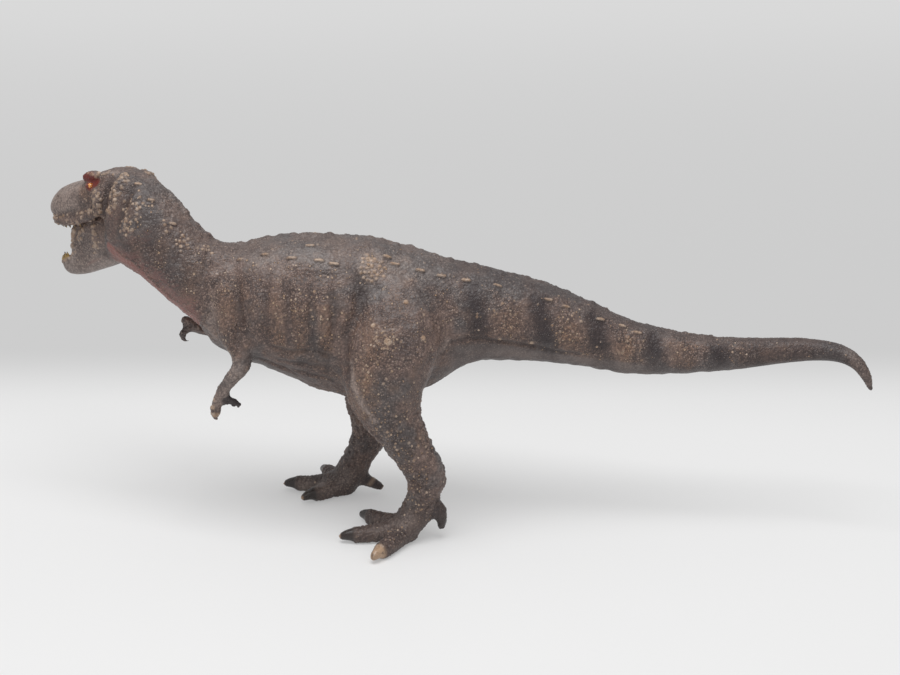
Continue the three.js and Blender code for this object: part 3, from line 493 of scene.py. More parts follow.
def wavy(points, width, seed):
    """Soft noise from 0 to 1 over the points, with patches of that width."""
    shift = np.array((seed * 3.7, seed * 11.3, seed * 7.9))
    cells = (points / width + shift).tolist()
    return np.array([noise.noise(cell) for cell in cells]) * 0.5 + 0.5


# ---- the trunk's middle plane, and marks on both its sides ----

MIDLINE_X = (-95, -89.4, -80.1, -70.8, -65, 77, 88, 98, 109, 119, 130, 140, 150, 155, 160, 162.4)
MIDLINE_Y = (9.2, 5.6, 2.2, 0.5, 0, -0.8, -1.8, -3, -3.8, -4.1, -4.2, -5, -7, -9, -12, -15)


def mirrored(point):
    x, y, z = point
    return (x, 2 * float(np.interp(x, MIDLINE_X, MIDLINE_Y)) - y, z)


def other_cheek(point):
    local = HEAD.inverted() @ Vector(point)
    local.y = -local.y
    return tuple(HEAD @ local)


def pair_up(lines, flip):
    """Each line, and its mirror image."""
    return list(lines) + [[flip(point) for point in line] for line in lines]


def pair_strokes(rows, flip):
    """Each stroke, and its mirror image: rows of line, reach and strength."""
    return list(rows) + [([flip(point) for point in line], *rest) for line, *rest in rows]


def strokes_along(table, flip):
    """Strokes on both sides: rows of lines, reach and strength."""
    return [(line, reach, strength)
            for lines, reach, strength in table for line in pair_up(lines, flip)]


RIBS = (
    [(-49.3, -19.6, 88.7), (-49, -21.2, 82.4), (-49.2, -21.4, 74.5)],
    [(-41.7, -18.6, 94), (-41.6, -21.9, 86.2), (-41.9, -22.9, 74.5)],
    [(-34.2, -20.4, 92.5), (-33.8, -22.7, 84.6), (-33.6, -23.5, 75.5)],
    [(-26.1, -19.5, 92.5), (-25.8, -22.5, 82.8), (-25.6, -23.1, 72.4)],
    [(-19.4, -21, 87.5), (-19.4, -21.9, 81.6), (-19.8, -22.4, 75.8)],
)
RIB_GROOVES = (
    [(-45.5, -19.3, 91), (-45.3, -21.8, 82.4), (-45.6, -22.2, 74)],
    [(-38, -19.6, 92.5), (-37.8, -22.4, 84), (-37.8, -23.2, 74)],
    [(-30.2, -20.2, 92.5), (-29.9, -22.7, 83.6), (-29.7, -23.4, 73)],
    [(-22.6, -20.4, 89.5), (-22.6, -22.3, 82), (-22.8, -22.8, 74)],
)
SHOULDER = [(-61.5, -14.5, 95), (-60, -17.5, 84), (-60.5, -18.5, 72)]
DEEP_GROOVES = (
    [(-56.2, -16.4, 92), (-55.3, -19.5, 81.9), (-55.5, -21.3, 71)],
    [(-13, -16.4, 95), (-13.4, -18.6, 88.8), (-14.2, -20.5, 83), (-16.8, -21.4, 77.5),
     (-18.3, -23.5, 71), (-16, -27, 62)],
)
BELLY_FOLDS = (
    [(-45.5, -21.6, 72), (-37.7, -22.3, 69.6), (-29.1, -22.9, 70.2), (-22.5, -22.4, 67.6)],
    [(-42, -19.4, 66), (-33, -20.6, 64.8), (-24, -21, 64)],
    [(-37.6, -18, 61.8), (-31.2, -18.8, 60.6), (-23.4, -18, 58.6)],
    [(-50, -17.6, 65.5), (-44, -18.4, 62.4), (-36, -16.6, 58.8)],
)
TAIL_FOLD = ([(16, -15.8, 71.5), (22.6, -16.2, 72.6), (32.3, -14.7, 70.8), (44.6, -12.7, 68.4),
              (53.4, -11.4, 65.7), (62, -10.4, 64.4)],)
TAIL_MUSCLE = ([(18, -16, 75.4), (32, -15.6, 74.6), (44, -13.6, 72), (58, -11.8, 68.4)],)
THIGH_MUSCLES = (
    [(-8, -24, 86), (-7, -29.4, 76), (-8.5, -32, 64)],
    [(4, -25, 84), (6, -28, 72), (3, -31, 60)],
)
SHIN_FOLDS = (
    [(-12.5, -28, 48.5), (-9.6, -33, 50), (-2, -34.4, 49)],
    [(-1, -30, 36), (1.5, -31.5, 34), (6, -31.5, 34)],
)
LONG_SCALES = (
    (-61.2, -8.6, 99.5), (-54.8, -10.3, 99.2), (-46.1, -11.3, 100.9), (-36.9, -13.9, 100.5),
    (-27.7, -14.5, 99.6), (-22.6, -14.8, 98.6), (-31.2, -9.2, 103.6), (-5, -9, 99.5),
    (-2, -11.1, 97.7), (6.5, -11.1, 95.6), (13.7, -10.4, 93.4), (22.3, -9.7, 91.6),
    (33.4, -9.1, 89.4), (50.8, -8.5, 84.2), (57.1, -8.2, 81.5), (69.2, -6.9, 76.8),
    (77, -6.2, 74.1), (82.6, -7, 71.7),
)
# Centre, spread, number, radius and height of the bumps in a patch of warts
WART_PATCHES = (
    ((-9.4, -13.9, 96.6), 4.6, 64, 0.7, 0.42),
    ((-11.2, -11.7, 99.6), 2, 4, 0.8, 0.25),
    ((-4, -29.7, 75.5), 5, 22, 0.48, 0.26),
    ((-9, -31, 65), 7, 22, 0.46, 0.24),
    ((-33.8, -22.4, 86.5), 6.5, 12, 0.45, 0.22),
    ((-25.8, -22, 85), 6, 8, 0.42, 0.2),
    ((-41.8, -22, 84), 6, 7, 0.42, 0.2),
    ((26.5, -15, 80.8), 1.2, 4, 0.5, 0.22),
    ((36, -12.6, 80), 6, 14, 0.45, 0.2),
    ((58, -10.6, 74), 6.5, 18, 0.45, 0.2),
    ((79, -8.8, 67.5), 6, 14, 0.42, 0.18),
    ((-4.5, -31.5, 47), 6.5, 10, 0.5, 0.2),
    ((4, -30, 36), 6.5, 10, 0.5, 0.2),
)
BIG_WARTS = (
    ((-4, -29.7, 75.5), 1.4, 0.45), ((-8.8, -26.4, 80.1), 0.9, 0.3), ((1.9, -21.6, 87.1), 0.9, 0.3),
    ((7.5, -27, 76), 1, 0.3), ((-11, -11.9, 99.4), 1, 0.25),
    ((45, -13.2, 69.5), 0.9, 0.25), ((34, -14.6, 71.6), 0.8, 0.25),
)
# Strokes of small dots: line, reach and how thickly they lie
SPECKLES = (
    ([(-9.4, -13.9, 96.6)], 6, 1),
    ([(-11.5, -11.5, 100)], 3.5, 0.7),
    ([(-4, -29.7, 76.5)], 8, 0.7),
    ([(-9, -28, 74), (-11, -32, 58)], 7.5, 0.8),
    ([(3, -31, 62), (2, -31.5, 50)], 5, 0.3),
    ([(8, -26, 80), (9, -25, 68)], 6.5, 0.35),
    ([(15.4, -14.8, 87), (16, -17, 74)], 4.5, 0.4),
    ([(-41.6, -21, 90), (-41.6, -23, 76)], 4.5, 0.4),
    ([(-33.8, -22.4, 91), (-33.6, -23.5, 74)], 4.5, 0.5),
    ([(-25.8, -22, 90), (-25.6, -23, 74)], 4.5, 0.4),
    ([(-18, -20.5, 86), (-19.8, -22.4, 75)], 3.5, 0.3),
    ([(-50, -15, 96), (-14, -16, 94)], 6, 0.3),
    ([(-61, -16, 88), (-58, -18, 70)], 6.5, 0.5),
    ([(36.5, -12.6, 80)], 8.5, 0.4),
    ([(37.5, -12.8, 74)], 6, 0.3),
    ([(58, -10.6, 73)], 9, 0.42),
    ([(78.5, -8.8, 67)], 8, 0.5),
    ([(98, -8, 64)], 8, 0.6),
    ([(117, -8.6, 63)], 7, 0.5),
    ([(21.6, -15.4, 70), (34.2, -12.9, 68.1), (48.2, -11, 66.8), (69.3, -9.6, 63.4),
      (83.3, -9.9, 62)], 1.8, 0.6),
    ([(-10, -32, 52), (-7, -32, 45.6)], 5, 0.9),
    ([(-6, -32, 46), (0, -31, 37), (4.7, -28.3, 25.1), (6.4, -27.7, 14)], 8.5, 0.8),
    ([(2.8, -27.8, 9.9), (-4, -30, 6)], 6, 0.4),
)
# Strokes of warm brown paint
WARM_STROKES = (
    ([(-9, -13, 97)], 8.5, 0.8),
    ([(-5, -28.5, 78), (-12.5, -31.5, 62), (-14.5, -29, 52)], 7.5, 0.75),
    ([(-41.6, -21.8, 88), (-41.9, -22.9, 72)], 4, 0.9),
    ([(-34, -22.8, 86), (-33.6, -23.5, 72)], 4, 0.9),
    ([(-25.8, -22.5, 84), (-25.6, -23.1, 70)], 4, 0.8),
    ([(-61, -17, 88), (-57, -19, 68)], 6, 0.8),
    ([(-64, -17.5, 74), (-66, -18, 62)], 5, 0.6),
    ([(36.8, -12.6, 77)], 8.5, 1), ([(58.2, -10.6, 71)], 8.5, 1),
    ([(78.5, -8.8, 66.5)], 8, 0.9), ([(98, -8, 63)], 7.5, 0.7),
)
# Strokes of pale mauve-beige; the one down the thigh's front edge and the one below the tail's fold
# are painted highlights
PALE_STROKES = (
    ([(-10.5, -12.8, 98)], 8, 0.75),
    ([(-4, -13, 95.5), (4, -13, 92)], 6, 0.25),
    ([(-17, -28.1, 66.8), (-16.3, -29.8, 62.8), (-15.3, -30.9, 58.9), (-13.6, -31.9, 54.9),
      (-11.6, -32.2, 51.5), (-8.9, -32.2, 47.9)], 2.6, 0.85),
    ([(-50, -12, 99), (-22, -13, 98)], 7, 0.3),
    ([(12.5, -22, 62), (16, -18, 72)], 2.5, 0.5),
    ([(-61.5, -20, 68), (-56, -22, 61.5), (-58, -22.3, 57.4), (-63, -22.6, 51.7)], 5, 0.7),
    ([(-65.5, -15.5, 88), (-65.5, -16, 74)], 5.5, 0.45),
    ([(-5.4, -31, 44), (-3.2, -27.5, 33)], 3, 0.35),
    ([(24, -13.8, 66.5), (55.3, -9.6, 63), (83, -9.5, 59.5)], 3.4, 0.25),
    ([(-2, -10.5, 98), (9.3, -11.6, 93.9)], 5, 0.2),
    ([(-8, -28, 8.5), (-14, -32, 7)], 4.5, 0.3),
    ([(-22.7, 14.1, 7.6), (-30.1, 12.5, 5.5), (-38.3, 19.1, 2.7)], 5.5, 0.55),
    ([(2.8, -27.8, 9.9), (-3, -27.5, 7.6), (-9, -28, 5.5)], 4.5, 0.35),
    ([(156, -11.4, 66.2), (162.7, -15.9, 55.9)], 4, 0.7),
)
DOTS_EVERYWHERE = 0.06
# Centre along the tail, half width and strength of a dark band
TAIL_BANDS = (
    (27.4, 3.9, 1), (49.6, 4.4, 1), (68.4, 4.5, 1), (87.7, 3.7, 1), (109.6, 4.2, 0.95),
    (124, 4, 0.75), (137, 4, 0.6),
)
BAND_LEAN = 0.16
BAND_MIDDLE_Z = 72.0
DARK_END_X = (112, 126)
TAIL_FOLD_X = (16, 32, 45, 54, 62, 100, 170)
TAIL_FOLD_Z = (70, 70, 67.5, 65, 63.6, 59, 50)
# The first finger's dark cross bands, and the dark second finger
BANDED_FINGER = [(-65.2, -19.4, 53), (-64.6, -20, 44)]
DARK_FINGER = [(-61, -19.5, 52), (-55.6, -18.6, 49)]
REAR_TOES = (
    ([(12.4, -22, 14), (13.7, -22, 3)], 0),
    ([(-14, 20.2, 7), (-8.2, 20.2, 2.6)], 1),
)

THROAT_LINE = [(-101.6, -1.2, 100.9), (-98.6, -2.8, 98.5), (-95.6, -4.4, 96.7), (-92.7, -5.6, 94.9),
               (-88.5, -6.9, 91.6), (-84, -7.8, 88.2), (-79.6, -9, 84.4), (-75.4, -9.9, 80.6),
               (-70.5, -10.4, 76)]
THROAT_EDGE = [(-102.3, -0.7, 102.2), (-99.1, -3.2, 100.3), (-96, -5.1, 98.7), (-92.7, -6.8, 97.1),
               (-89.4, -8.1, 94.8), (-86.4, -8.7, 91.7), (-83.3, -9.4, 88.7), (-79.9, -10.4, 85.8),
               (-75.5, -12.4, 83.8)]
NECK_GROOVES = (
    [(-86.9, -8.9, 106.6), (-86.7, -9.5, 102.2), (-87.1, -9.6, 98.4)],
    [(-75.4, -9.1, 104), (-75.6, -10.8, 100.1), (-75.9, -11.8, 96)],
)
# Strokes of painted shade on the neck and head: line, reach and strength
NECK_SHADES = (
    ([(-85, -8.5, 104), (-77, -10, 98), (-72, -12, 92)], 9, 0.75),
    ([(-99.5, -1, 110), (-97, -4, 105), (-92, -6.5, 101)], 5, 0.6),
    ([(-90, -6.5, 112), (-86, -6, 112.5)], 5, 0.5),
    ([(-98, 3, 120), (-86, -3, 113), (-76, -6, 106)], 9, 0.65),
)
# Painted shade in the hollow between snout and eye
SNOUT_SHADES = (([(-116.5, 11.6, 117.5), (-114.6, 9.9, 114.8), (-113.4, 9, 112.6)], 3.5, 0.55),)
# Strokes of painted shade and shadow on the trunk and thigh: line, reach and strength
BODY_SHADES = (
    ([(0, -29.8, 73), (6.1, -27.9, 77.4)], 7, 0.6),
    ([(-6, -30, 72), (-4, -28, 80)], 6, 0.35),
    ([(8.4, -28, 69), (4, -31, 62)], 5, 0.3),
    ([(-1.7, -23.4, 85.5), (-9, -25, 80)], 5.5, 0.4),
    ([(-20, -14.5, 98), (-15.5, -16.5, 94)], 3.5, 0.5),
    ([(-52, -16, 94), (-48, -16.5, 93.5)], 5, 0.35),
    ([(8.5, -13, 91), (12, -16, 84)], 5, 0.35),
)
NECK_SEAM = [(-66.3, 1.2, 104), (-66.2, -6.9, 101.6), (-66.5, -10.3, 98.2), (-67.3, -12.9, 94.3),
             (-68, -14.2, 90), (-68.5, -14.5, 84)]
NECK_WARTS = (
    ((-94.5, -6.1, 109.1), 3, 18, 0.66, 0.38),
    ((-80.2, -6.6, 110), 2.4, 7, 0.6, 0.34),
    ((-74.5, -8.1, 104.3), 3, 10, 0.6, 0.32),
    ((-67.5, -7.3, 101.7), 2.8, 7, 0.56, 0.3),
    ((-92, -3, 115.5), 5, 18, 0.6, 0.26),
    ((-98.5, 2, 119), 3, 8, 0.6, 0.26),
)
NECK_SPECKLES = (
    ([(-94.5, -6.1, 109.1), (-90, -7.8, 108.5)], 4.5, 0.9),
    ([(-92, -1, 119), (-88, -4, 115)], 5.5, 0.4),
    ([(-81.8, -9.4, 106), (-82.5, -10.7, 98)], 3.5, 0.45),
    ([(-77, -8, 105), (-70, -8.4, 102)], 4, 0.5),
    ([(-70.5, -13, 94), (-71.5, -13.6, 86)], 4.5, 0.4),
    ([(-91, -8, 102)], 3.5, 0.25),
)
NECK_WARM = (
    ([(-81.8, -9.4, 104), (-82.5, -10.7, 97)], 3.5, 0.8),
    ([(-91, -8, 104), (-91, -8.2, 100)], 3.5, 0.6),
    ([(-72, -12.5, 96), (-73, -13, 88)], 5, 0.8),
)
NECK_SCALES = (
    (-96.4, 5.5, 125.4), (-90.9, 1.7, 122.9), (-86, -3, 118.1), (-78.4, -5.3, 110.5),
)

# Ridges and grooves of the body and neck: lines, radius and height
BODY_FORMS = (
    (RIBS, 4.0, 0.6), (RIB_GROOVES, 2.4, -0.55), (DEEP_GROOVES, 3.4, -1.1),
    ([SHOULDER], 5.5, 1.2), (BELLY_FOLDS, 1.5, -0.7), (TAIL_FOLD, 1.3, -0.7),
    (TAIL_MUSCLE, 4.0, 0.5), (THIGH_MUSCLES, 6.5, 0.4), (SHIN_FOLDS, 1.6, -0.5),
    ([NECK_SEAM], 2.2, -0.6),
)
NECK_FORMS = ((NECK_GROOVES, 3.2, -1.0), ([NECK_SEAM], 2.2, -0.6))
# Dark wash and painted shade in the grooves: lines, reach and strength
BODY_WASH_AND_SHADE = (
    (DEEP_GROOVES, 2.6, 0.8), (TAIL_FOLD, 0.9, 1.0), (BELLY_FOLDS, 1.0, 0.7),
    ([NECK_SEAM], 1.9, 0.6), (RIB_GROOVES, 2.2, 0.65),
)
NECK_WASH_AND_SHADE = ((NECK_GROOVES, 2.4, 0.75), ([NECK_SEAM], 1.6, 0.4))

# Toes: the ball of the foot, then each toe's turn outwards and length
FEET = (
    (Vector((2.2, -22, 0)), 1, ((7.5, 24.5), (60, 23.8), (-43, 25))),
    (Vector((-22.4, 20.2, 0)), -1, ((8, 24.5), (60, 21.5), (-34, 18))),
)
# Share of a toe's length where its claw shows and where it is rooted, and the claw's sizes
NAIL_ALONG = 0.8
CLAW_ROOT_ALONG = 0.76
CLAW_REACH = 7.5
CLAW_LENGTH = 6.2
# Foot and toe of the claw that is pale all over
PALE_CLAW = (0, 1)
CREASE_PITCH = 2.1
TOE_SIDE = (4.2, 5.4)
TOE_START = (3.5, 6.5)
TOE_TOP_Z = (8.5, 10.5)
STRAY_WARTS = 150
# Start, end and pitch of the bumps along the back, and the size of the largest
BODY_SPINE = (-62, 118, 4.4)
NECK_SPINE = (-90, -67, 3.4)
SPINE_RISE = 0.8
SPINE_RADIUS = 2.7
# Half length, radius and rise of the long scales
BODY_BARS = (1.15, 0.58, 0.7)
NECK_BARS = (0.8, 0.55, 0.5)

# Width and seed of the soft patterns
LUMPS = (3.2, 21)
WIDE_LUMPS = (7.5, 22)
LEG_LUMPS = (1.7, 23)
TOE_RIPPLE = (4.0, 11)
SCALE_PATCHES = (9.0, 3)
BAND_EDGES = (5.0, 5)

# Reach of single strokes
FINGER_REACH = 3.2
FINGER_BAND_PITCH = 2.7
DARK_FINGER_REACH = 3.4
REAR_TOE_REACH = 4.4
THROAT_REACH = 3.4
BROW_REACH = 3.3
SOCKET_REACH = 2.9

# Where forms and paints fade in or out
FINE_HEAD_X = (-108, -90)
FINE_TAIL_X = (90, 140)
SMOOTH_TAIL_X = (100, 140)
SMOOTH_SNOUT_X = (-112, -100)
SMOOTH_TOES_Z = (4, 9)
LEG_TOP_Z = (46, 58)
LEG_FOOT_Z = (9, 14)
FOOT_Z = (8, 19)
TRUNK_Z = (52, 60)
BACK_Z = (60, 75)
TAIL_ROOT_X = (14, 20)
CHIN_END_X = (-104, -100)
THROAT_END_X = (-71.5, -67.5)
# The same in the head's own frame
SNOUT_X = (12.0, 17.0)
SNOUT_Z = (5.5, 8.0)
MOUTH_X = (6.5, 9)
MOUTH_BOTTOM = -12


# ---- the head and jaw ----


# Shares of the skull's length, width and height along the lip
LIP = ((0.22, 0.94, 0.09), (0.36, 0.9, 0), (0.5, 0.82, -0.03), (0.66, 0.72, -0.04),
       (0.78, 0.61, -0.015), (0.86, 0.46, 0.05), (0.905, 0.18, 0.11))
LIPS = two_lines(LIP, skull_point)
ABOVE_LIPS = two_lines(LIP[:-1], skull_point, 0.11)
EYE_CENTRE = (-108.9, 7.45, 121.1)
EYE_RADIUS = 1.05
# Radius and height of the lids' rim and of the socket in it
EYE_RIM = (2.4, 0.35)
EYE_SOCKET = (1.6, -0.7)
BROW = [(-111.6, 9.6, 124), (-109.2, 7.9, 124.3), (-107.2, 6.7, 122.6)]
BROW_TOP = [(-110.6, 9.6, 125.4), (-108.4, 8.2, 125.6), (-106.2, 7.3, 125)]
PINK_RIDGE = [(-107, 7.4, 125), (-103.3, 7.8, 125.3), (-100, 7, 125.7)]
CHEEK_RIDGES = (
    [(-106.6, 4.9, 119.6), (-106.3, 4, 117.9), (-105.9, 3.3, 115.6), (-106.6, 3.6, 113.6)],
    [(-96, 4.4, 124.9), (-97.4, 2.3, 123.2), (-98.5, 1, 121), (-99.1, 0, 118),
     (-100, -1.1, 115.1), (-101.2, -0.8, 112.5)],
)
HEAD_GROOVES = (
    [(-101.2, 4.3, 123.8), (-102.1, 2.8, 121.7), (-102.8, 1.9, 118.7), (-103.5, 1.6, 115.2),
     (-103.9, 1.8, 112.7)],
    [(-92.9, -0.1, 121.5), (-94.3, -2.3, 118.5), (-95.6, -3.6, 115.3), (-97.1, -4.2, 111.9),
     (-97.6, -3.6, 107)],
)
SNOUT_CREASES = (
    [(-121.9, 16.1, 109.6), (-118.1, 12.8, 110.7), (-114.4, 9.7, 112.4), (-110.8, 6.9, 114.4),
     (-108.2, 5.2, 116.6)],
    [(-116.5, 11.6, 117.5), (-114.6, 9.9, 114.8), (-113.4, 9, 112.6)],
)
NOSTRIL = [(-124.2, 18, 115.2)]
HEAD_SPECKLES = tuple((line, 2.8, 1) for line in CHEEK_RIDGES) + (
    (PINK_RIDGE, 1.6, 0.6),
    ([(-99.5, -0.5, 118), (-100.5, -1, 112)], 3.5, 0.4),
    ([(-104.5, 3, 114), (-103, 1, 106)], 3, 0.3),
)
SNOUT_WARM = (
    ([(-116, 12.5, 119), (-112, 9, 119)], 4.5, 0.6),
    ([(-122, 16.5, 113)], 5, 0.5),
)
PALE_HEAD = tuple((line, 2.2, 0.45) for line in CHEEK_RIDGES) + (
    (PINK_RIDGE, 2.2, 0.7),
    ([(-84.5, 1, 118), (-80, -2.5, 113)], 5, 0.3),
)
HEAD_FORMS = (
    (CHEEK_RIDGES, 2.3, 1.35), (HEAD_GROOVES, 2.4, -1.5), (SNOUT_CREASES, 1.6, -0.55),
    ([PINK_RIDGE], 1.8, 0.6), ([NOSTRIL], 1.1, -0.7),
)
HEAD_WASH_AND_SHADE = ((HEAD_GROOVES, 2.5, 1.0), (SNOUT_CREASES, 1.1, 0.45))
# Rows of bumps: lines, pitch, radius, rise, scatter and whether their tops are painted
HEAD_ROWS = (
    (pair_up(CHEEK_RIDGES, other_cheek), 0.5, 0.72, 0.42, 0.85, True),
    (LIPS, 1.15, 0.78, 0.5, 0.25, True),
    (ABOVE_LIPS, 1.4, 0.6, 0.34, 0.4, True),
    (pair_up([PINK_RIDGE, BROW_TOP], other_cheek), 1.1, 0.6, 0.22, 0.4, True),
    (pair_up([THROAT_EDGE], mirrored), 0.95, 0.62, 0.34, 0.12, False),
)
# The upper lip's inner edge: forward, aside and up in the head's own frame
INNER_LIP_X = (4.7, 10.6, 16.5, 23.2, 28.3, 31.6, 33.5)
INNER_LIP_Y = (10.8, 10.4, 9.4, 8.3, 7, 5.3, 2.1)
INNER_LIP_Z = (5.5, 4, 3.5, 3.3, 3.7, 4.9, 5.9)

FLAP_COLUMNS = (
    [(-108.5, 8.5, 107.3), (-108.7, 8.4, 104.4), (-108.8, 8.6, 100.7), (-109.1, 9.6, 96.8)],
    [(-112.8, 11.4, 105.5), (-114.8, 12.7, 103), (-115.9, 13.7, 100.2)],
)
FLAP_EDGE = [(-117.4, 15.4, 103.2), (-118.3, 15.8, 101.6), (-118.6, 15.9, 99.7),
             (-118.8, 16.1, 97.5)]
FLAP_HOLLOW = [(-106.3, 5.5, 107), (-106.4, 5.4, 103), (-106.8, 6, 98)]
JAW_GROOVE = [(-103.9, 2.4, 109.4), (-103.3, 0.6, 106.2), (-103.5, 1.1, 101.8), (-105.1, 7.5, 96.6)]
# How far the flap rises, and where along the jaw it does
FLAP_RISE = 1.6
FLAP_MIDDLE = 0.24
FLAP_REACH = 0.36
JAW_LIP = ((0.68, 0.82, -0.1), (0.8, 0.72, -0.14), (0.9, 0.56, -0.14), (0.98, 0.3, -0.14))
JAW_FORMS = ((FLAP_COLUMNS, 1.7, 0.65), ([JAW_GROOVE], 2.0, -0.7), ([FLAP_HOLLOW], 1.3, -0.3))
JAW_WASH_AND_SHADE = (([JAW_GROOVE], 3.0, 1.0), ([FLAP_HOLLOW], 1.8, 0.5))
JAW_ROWS = (
    (pair_up(FLAP_COLUMNS, other_cheek), 0.55, 0.6, 0.34, 0.55, True),
    (pair_up([FLAP_EDGE], other_cheek), 1.7, 1.15, 0.8, 0.1, True),
    (two_lines(JAW_LIP, jaw_point), 1.1, 0.6, 0.3, 0.15, True),
)
# Shares along the jaw, and the width there
JAW_ALONG = (0, 0.2, 0.55, 0.88, 1)
JAW_WIDTHS = (0.9, 1, 0.88, 0.61, 0.3)


# ---- sculpting ----


def bump(clay, centre, radius, rise, paint, height, light):
    """Raises a round wart on the skin nearest to its centre, and marks its top for pale paint."""
    inside, distance, _ = near_line(clay.points, [centre], radius * 1.35 + SNAP)
    if not len(inside):
        return
    nearest = clay.points[inside[distance.argmin()]]
    share = lengths(clay.points[inside] - nearest) / radius
    lift(height, inside, rise * fade(0.35, 1.25, share))
    lift(light, inside, paint * fade(0.7, 1.1, share))


def warts(clay, patches, rng):
    """Dots of light bumps in patches on both sides; returns their heights and paint."""
    height, light = clay.zeros(), clay.zeros()
    both = patches + tuple((mirrored(row[0]), *row[1:]) for row in patches)
    for centre, spread, count, radius, rise in both:
        inside, distance, _ = near_line(clay.points, [centre], spread)
        inside = inside[distance < spread]
        if not len(inside):
            continue
        placed = []
        for index in rng.choice(inside, 3 * count):
            place = clay.points[index]
            if len(placed) == count:
                break
            if placed and lengths(np.array(placed) - place).min() < WART_SPACING * radius:
                continue
            placed.append(place)
            bump(clay, place, radius * rng.uniform(0.7, 1.15), rise * rng.uniform(0.7, 1.2),
                 rng.uniform(0.5, 1.0), height, light)
    return height, light


def rows_of_bumps(clay, table, rng, height, light):
    """Rows of uneven warts along the lines of a table."""
    for lines, pitch, radius, rise, scatter, painted in table:
        for line in lines:
            run = np.array(line, float)
            tops = light if painted else clay.zeros()
            for share in np.linspace(0.02, 0.98, 2 + int(line_length(run) / pitch)):
                place = along_line(run, share) + rng.normal(0, scatter, 3)
                bump(clay, place, radius * rng.uniform(0.8, 1.25), rise, rng.uniform(0.35, 0.85),
                     height, tops)


def long_scales(clay, centres, half_length, radius, rise):
    """Rows of long raised scales: their heights, pale tops and the painted shadow below each."""
    height, light, shadow = clay.zeros(), clay.zeros(), clay.zeros()
    for centre in list(centres) + [mirrored(centre) for centre in centres]:
        inside, distance, _ = near_line(clay.points, [centre], 5.0)
        if not len(inside):
            continue
        x, y, z = clay.points[inside[distance.argmin()]]
        line = [(x - half_length, y, z + 0.12), (x + half_length, y, z - 0.12)]
        inside, distance, _ = near_line(clay.points, line, radius * 1.6)
        share = distance / radius
        lift(height, inside, rise * fade(0.45, 1.5, share))
        strength = 0.7 + 0.3 * math.sin(x * 2.3) ** 2
        lift(light, inside, strength * fade(0.5, 1.05, share))
        below = [(px, py, pz - 1.3 * radius) for px, py, pz in line]
        lower = line_field(clay.points, below, radius * 1.5, 0.9, taper=False)
        shadow = np.maximum(shadow, lower)
    return height, light, shadow * (1 - light)


def lines_field(clay, lines, radius, height):
    """Ridges or grooves along lines laid on the skin."""
    return sum(line_field(clay.points, clay.on_skin(line), radius, height) for line in lines)


def forms(clay, *tables):
    """Ridges and grooves on both sides, from tables of lines, radius and height."""
    return sum(lines_field(clay, pair_up(lines, flip), radius, height)
               for table, flip in tables for lines, radius, height in table)


def marks(clay, rows):
    """The strongest of several soft strokes laid on the skin: rows of line, radius and strength."""
    return mask_of(clay.points, [(clay.on_skin(line), reach, strength)
                                 for line, reach, strength in rows])


def lumps(points):
    """Uneven muscle under the hide."""
    return 0.75 * ((wavy(points, *LUMPS) - 0.5) + 0.7 * (wavy(points, *WIDE_LUMPS) - 0.5))


def spine_bumps(clay, start, end, pitch):
    """Low bumps along the back, smaller towards the tail tip."""
    height = clay.zeros()
    x = start
    while x < end:
        middle = float(np.interp(x, MIDLINE_X, MIDLINE_Y))
        in_slab = (abs(clay.points[:, 0] - x) < 0.6) & (abs(clay.points[:, 1] - middle) < 2)
        slab = np.nonzero(in_slab)[0]
        top = clay.points[slab[clay.points[slab, 2].argmax()]]
        size = float(np.interp(x, (10, 40, 118), (1.0, 0.75, 0.55)))
        inside, distance, _ = near_line(clay.points, top, SPINE_RADIUS * size)
        lift(height, inside, SPINE_RISE * size * bell(distance, SPINE_RADIUS * size))
        x += pitch * (0.85 + 0.3 * abs(math.sin(x * 1.7)))
    return height


def toe_wrinkles(clay):
    """Creases across the toes, and the cuticle round each claw; returns heights and claw masks."""
    height, claw, tip = clay.zeros(), clay.zeros(), clay.zeros()
    low = fade(*TOE_TOP_Z, clay.points[:, 2])
    ripple = wavy(clay.points, *TOE_RIPPLE) * 3.0
    for foot, (ball, turn_sign, turns) in enumerate(FEET):
        for toe, (turn, length) in enumerate(turns):
            turned = Matrix.Rotation(math.radians(turn_sign * turn), 3, "Z")
            direction = np.array(turned @ Vector((-1, 0, 0)))
            offset = clay.points - np.array(ball)
            run = offset @ direction
            aside = lengths(offset[:, :2] - np.outer(run, direction[:2]))
            on_toe = (clay.points[:, 1] * ball.y > 0) * low * fade(*TOE_SIDE, aside)
            on_toe = on_toe * step(*TOE_START, run) * (run < length + CLAW_REACH)
            creases = 0.5 + 0.5 * np.cos(2 * np.pi * (run + ripple) / CREASE_PITCH)
            skin = on_toe * fade(length * (NAIL_ALONG - 0.06), length * NAIL_ALONG, run)
            height -= 0.26 * skin * creases ** 3
            nail = on_toe * step(
                length * (NAIL_ALONG - 0.04), length * (NAIL_ALONG + 0.03), run)
            claw = np.maximum(claw, nail)
            cuticle = (run - length * (NAIL_ALONG - 0.03)) / 0.8
            height += 0.14 * on_toe * np.exp(-(cuticle ** 2))
            end = CLAW_ROOT_ALONG * length + CLAW_LENGTH
            bare = 0.9 if (foot, toe) == PALE_CLAW else step(end - 1.0, end - 0.1, run)
            tip = np.maximum(tip, nail * bare)
    return height, claw, tip


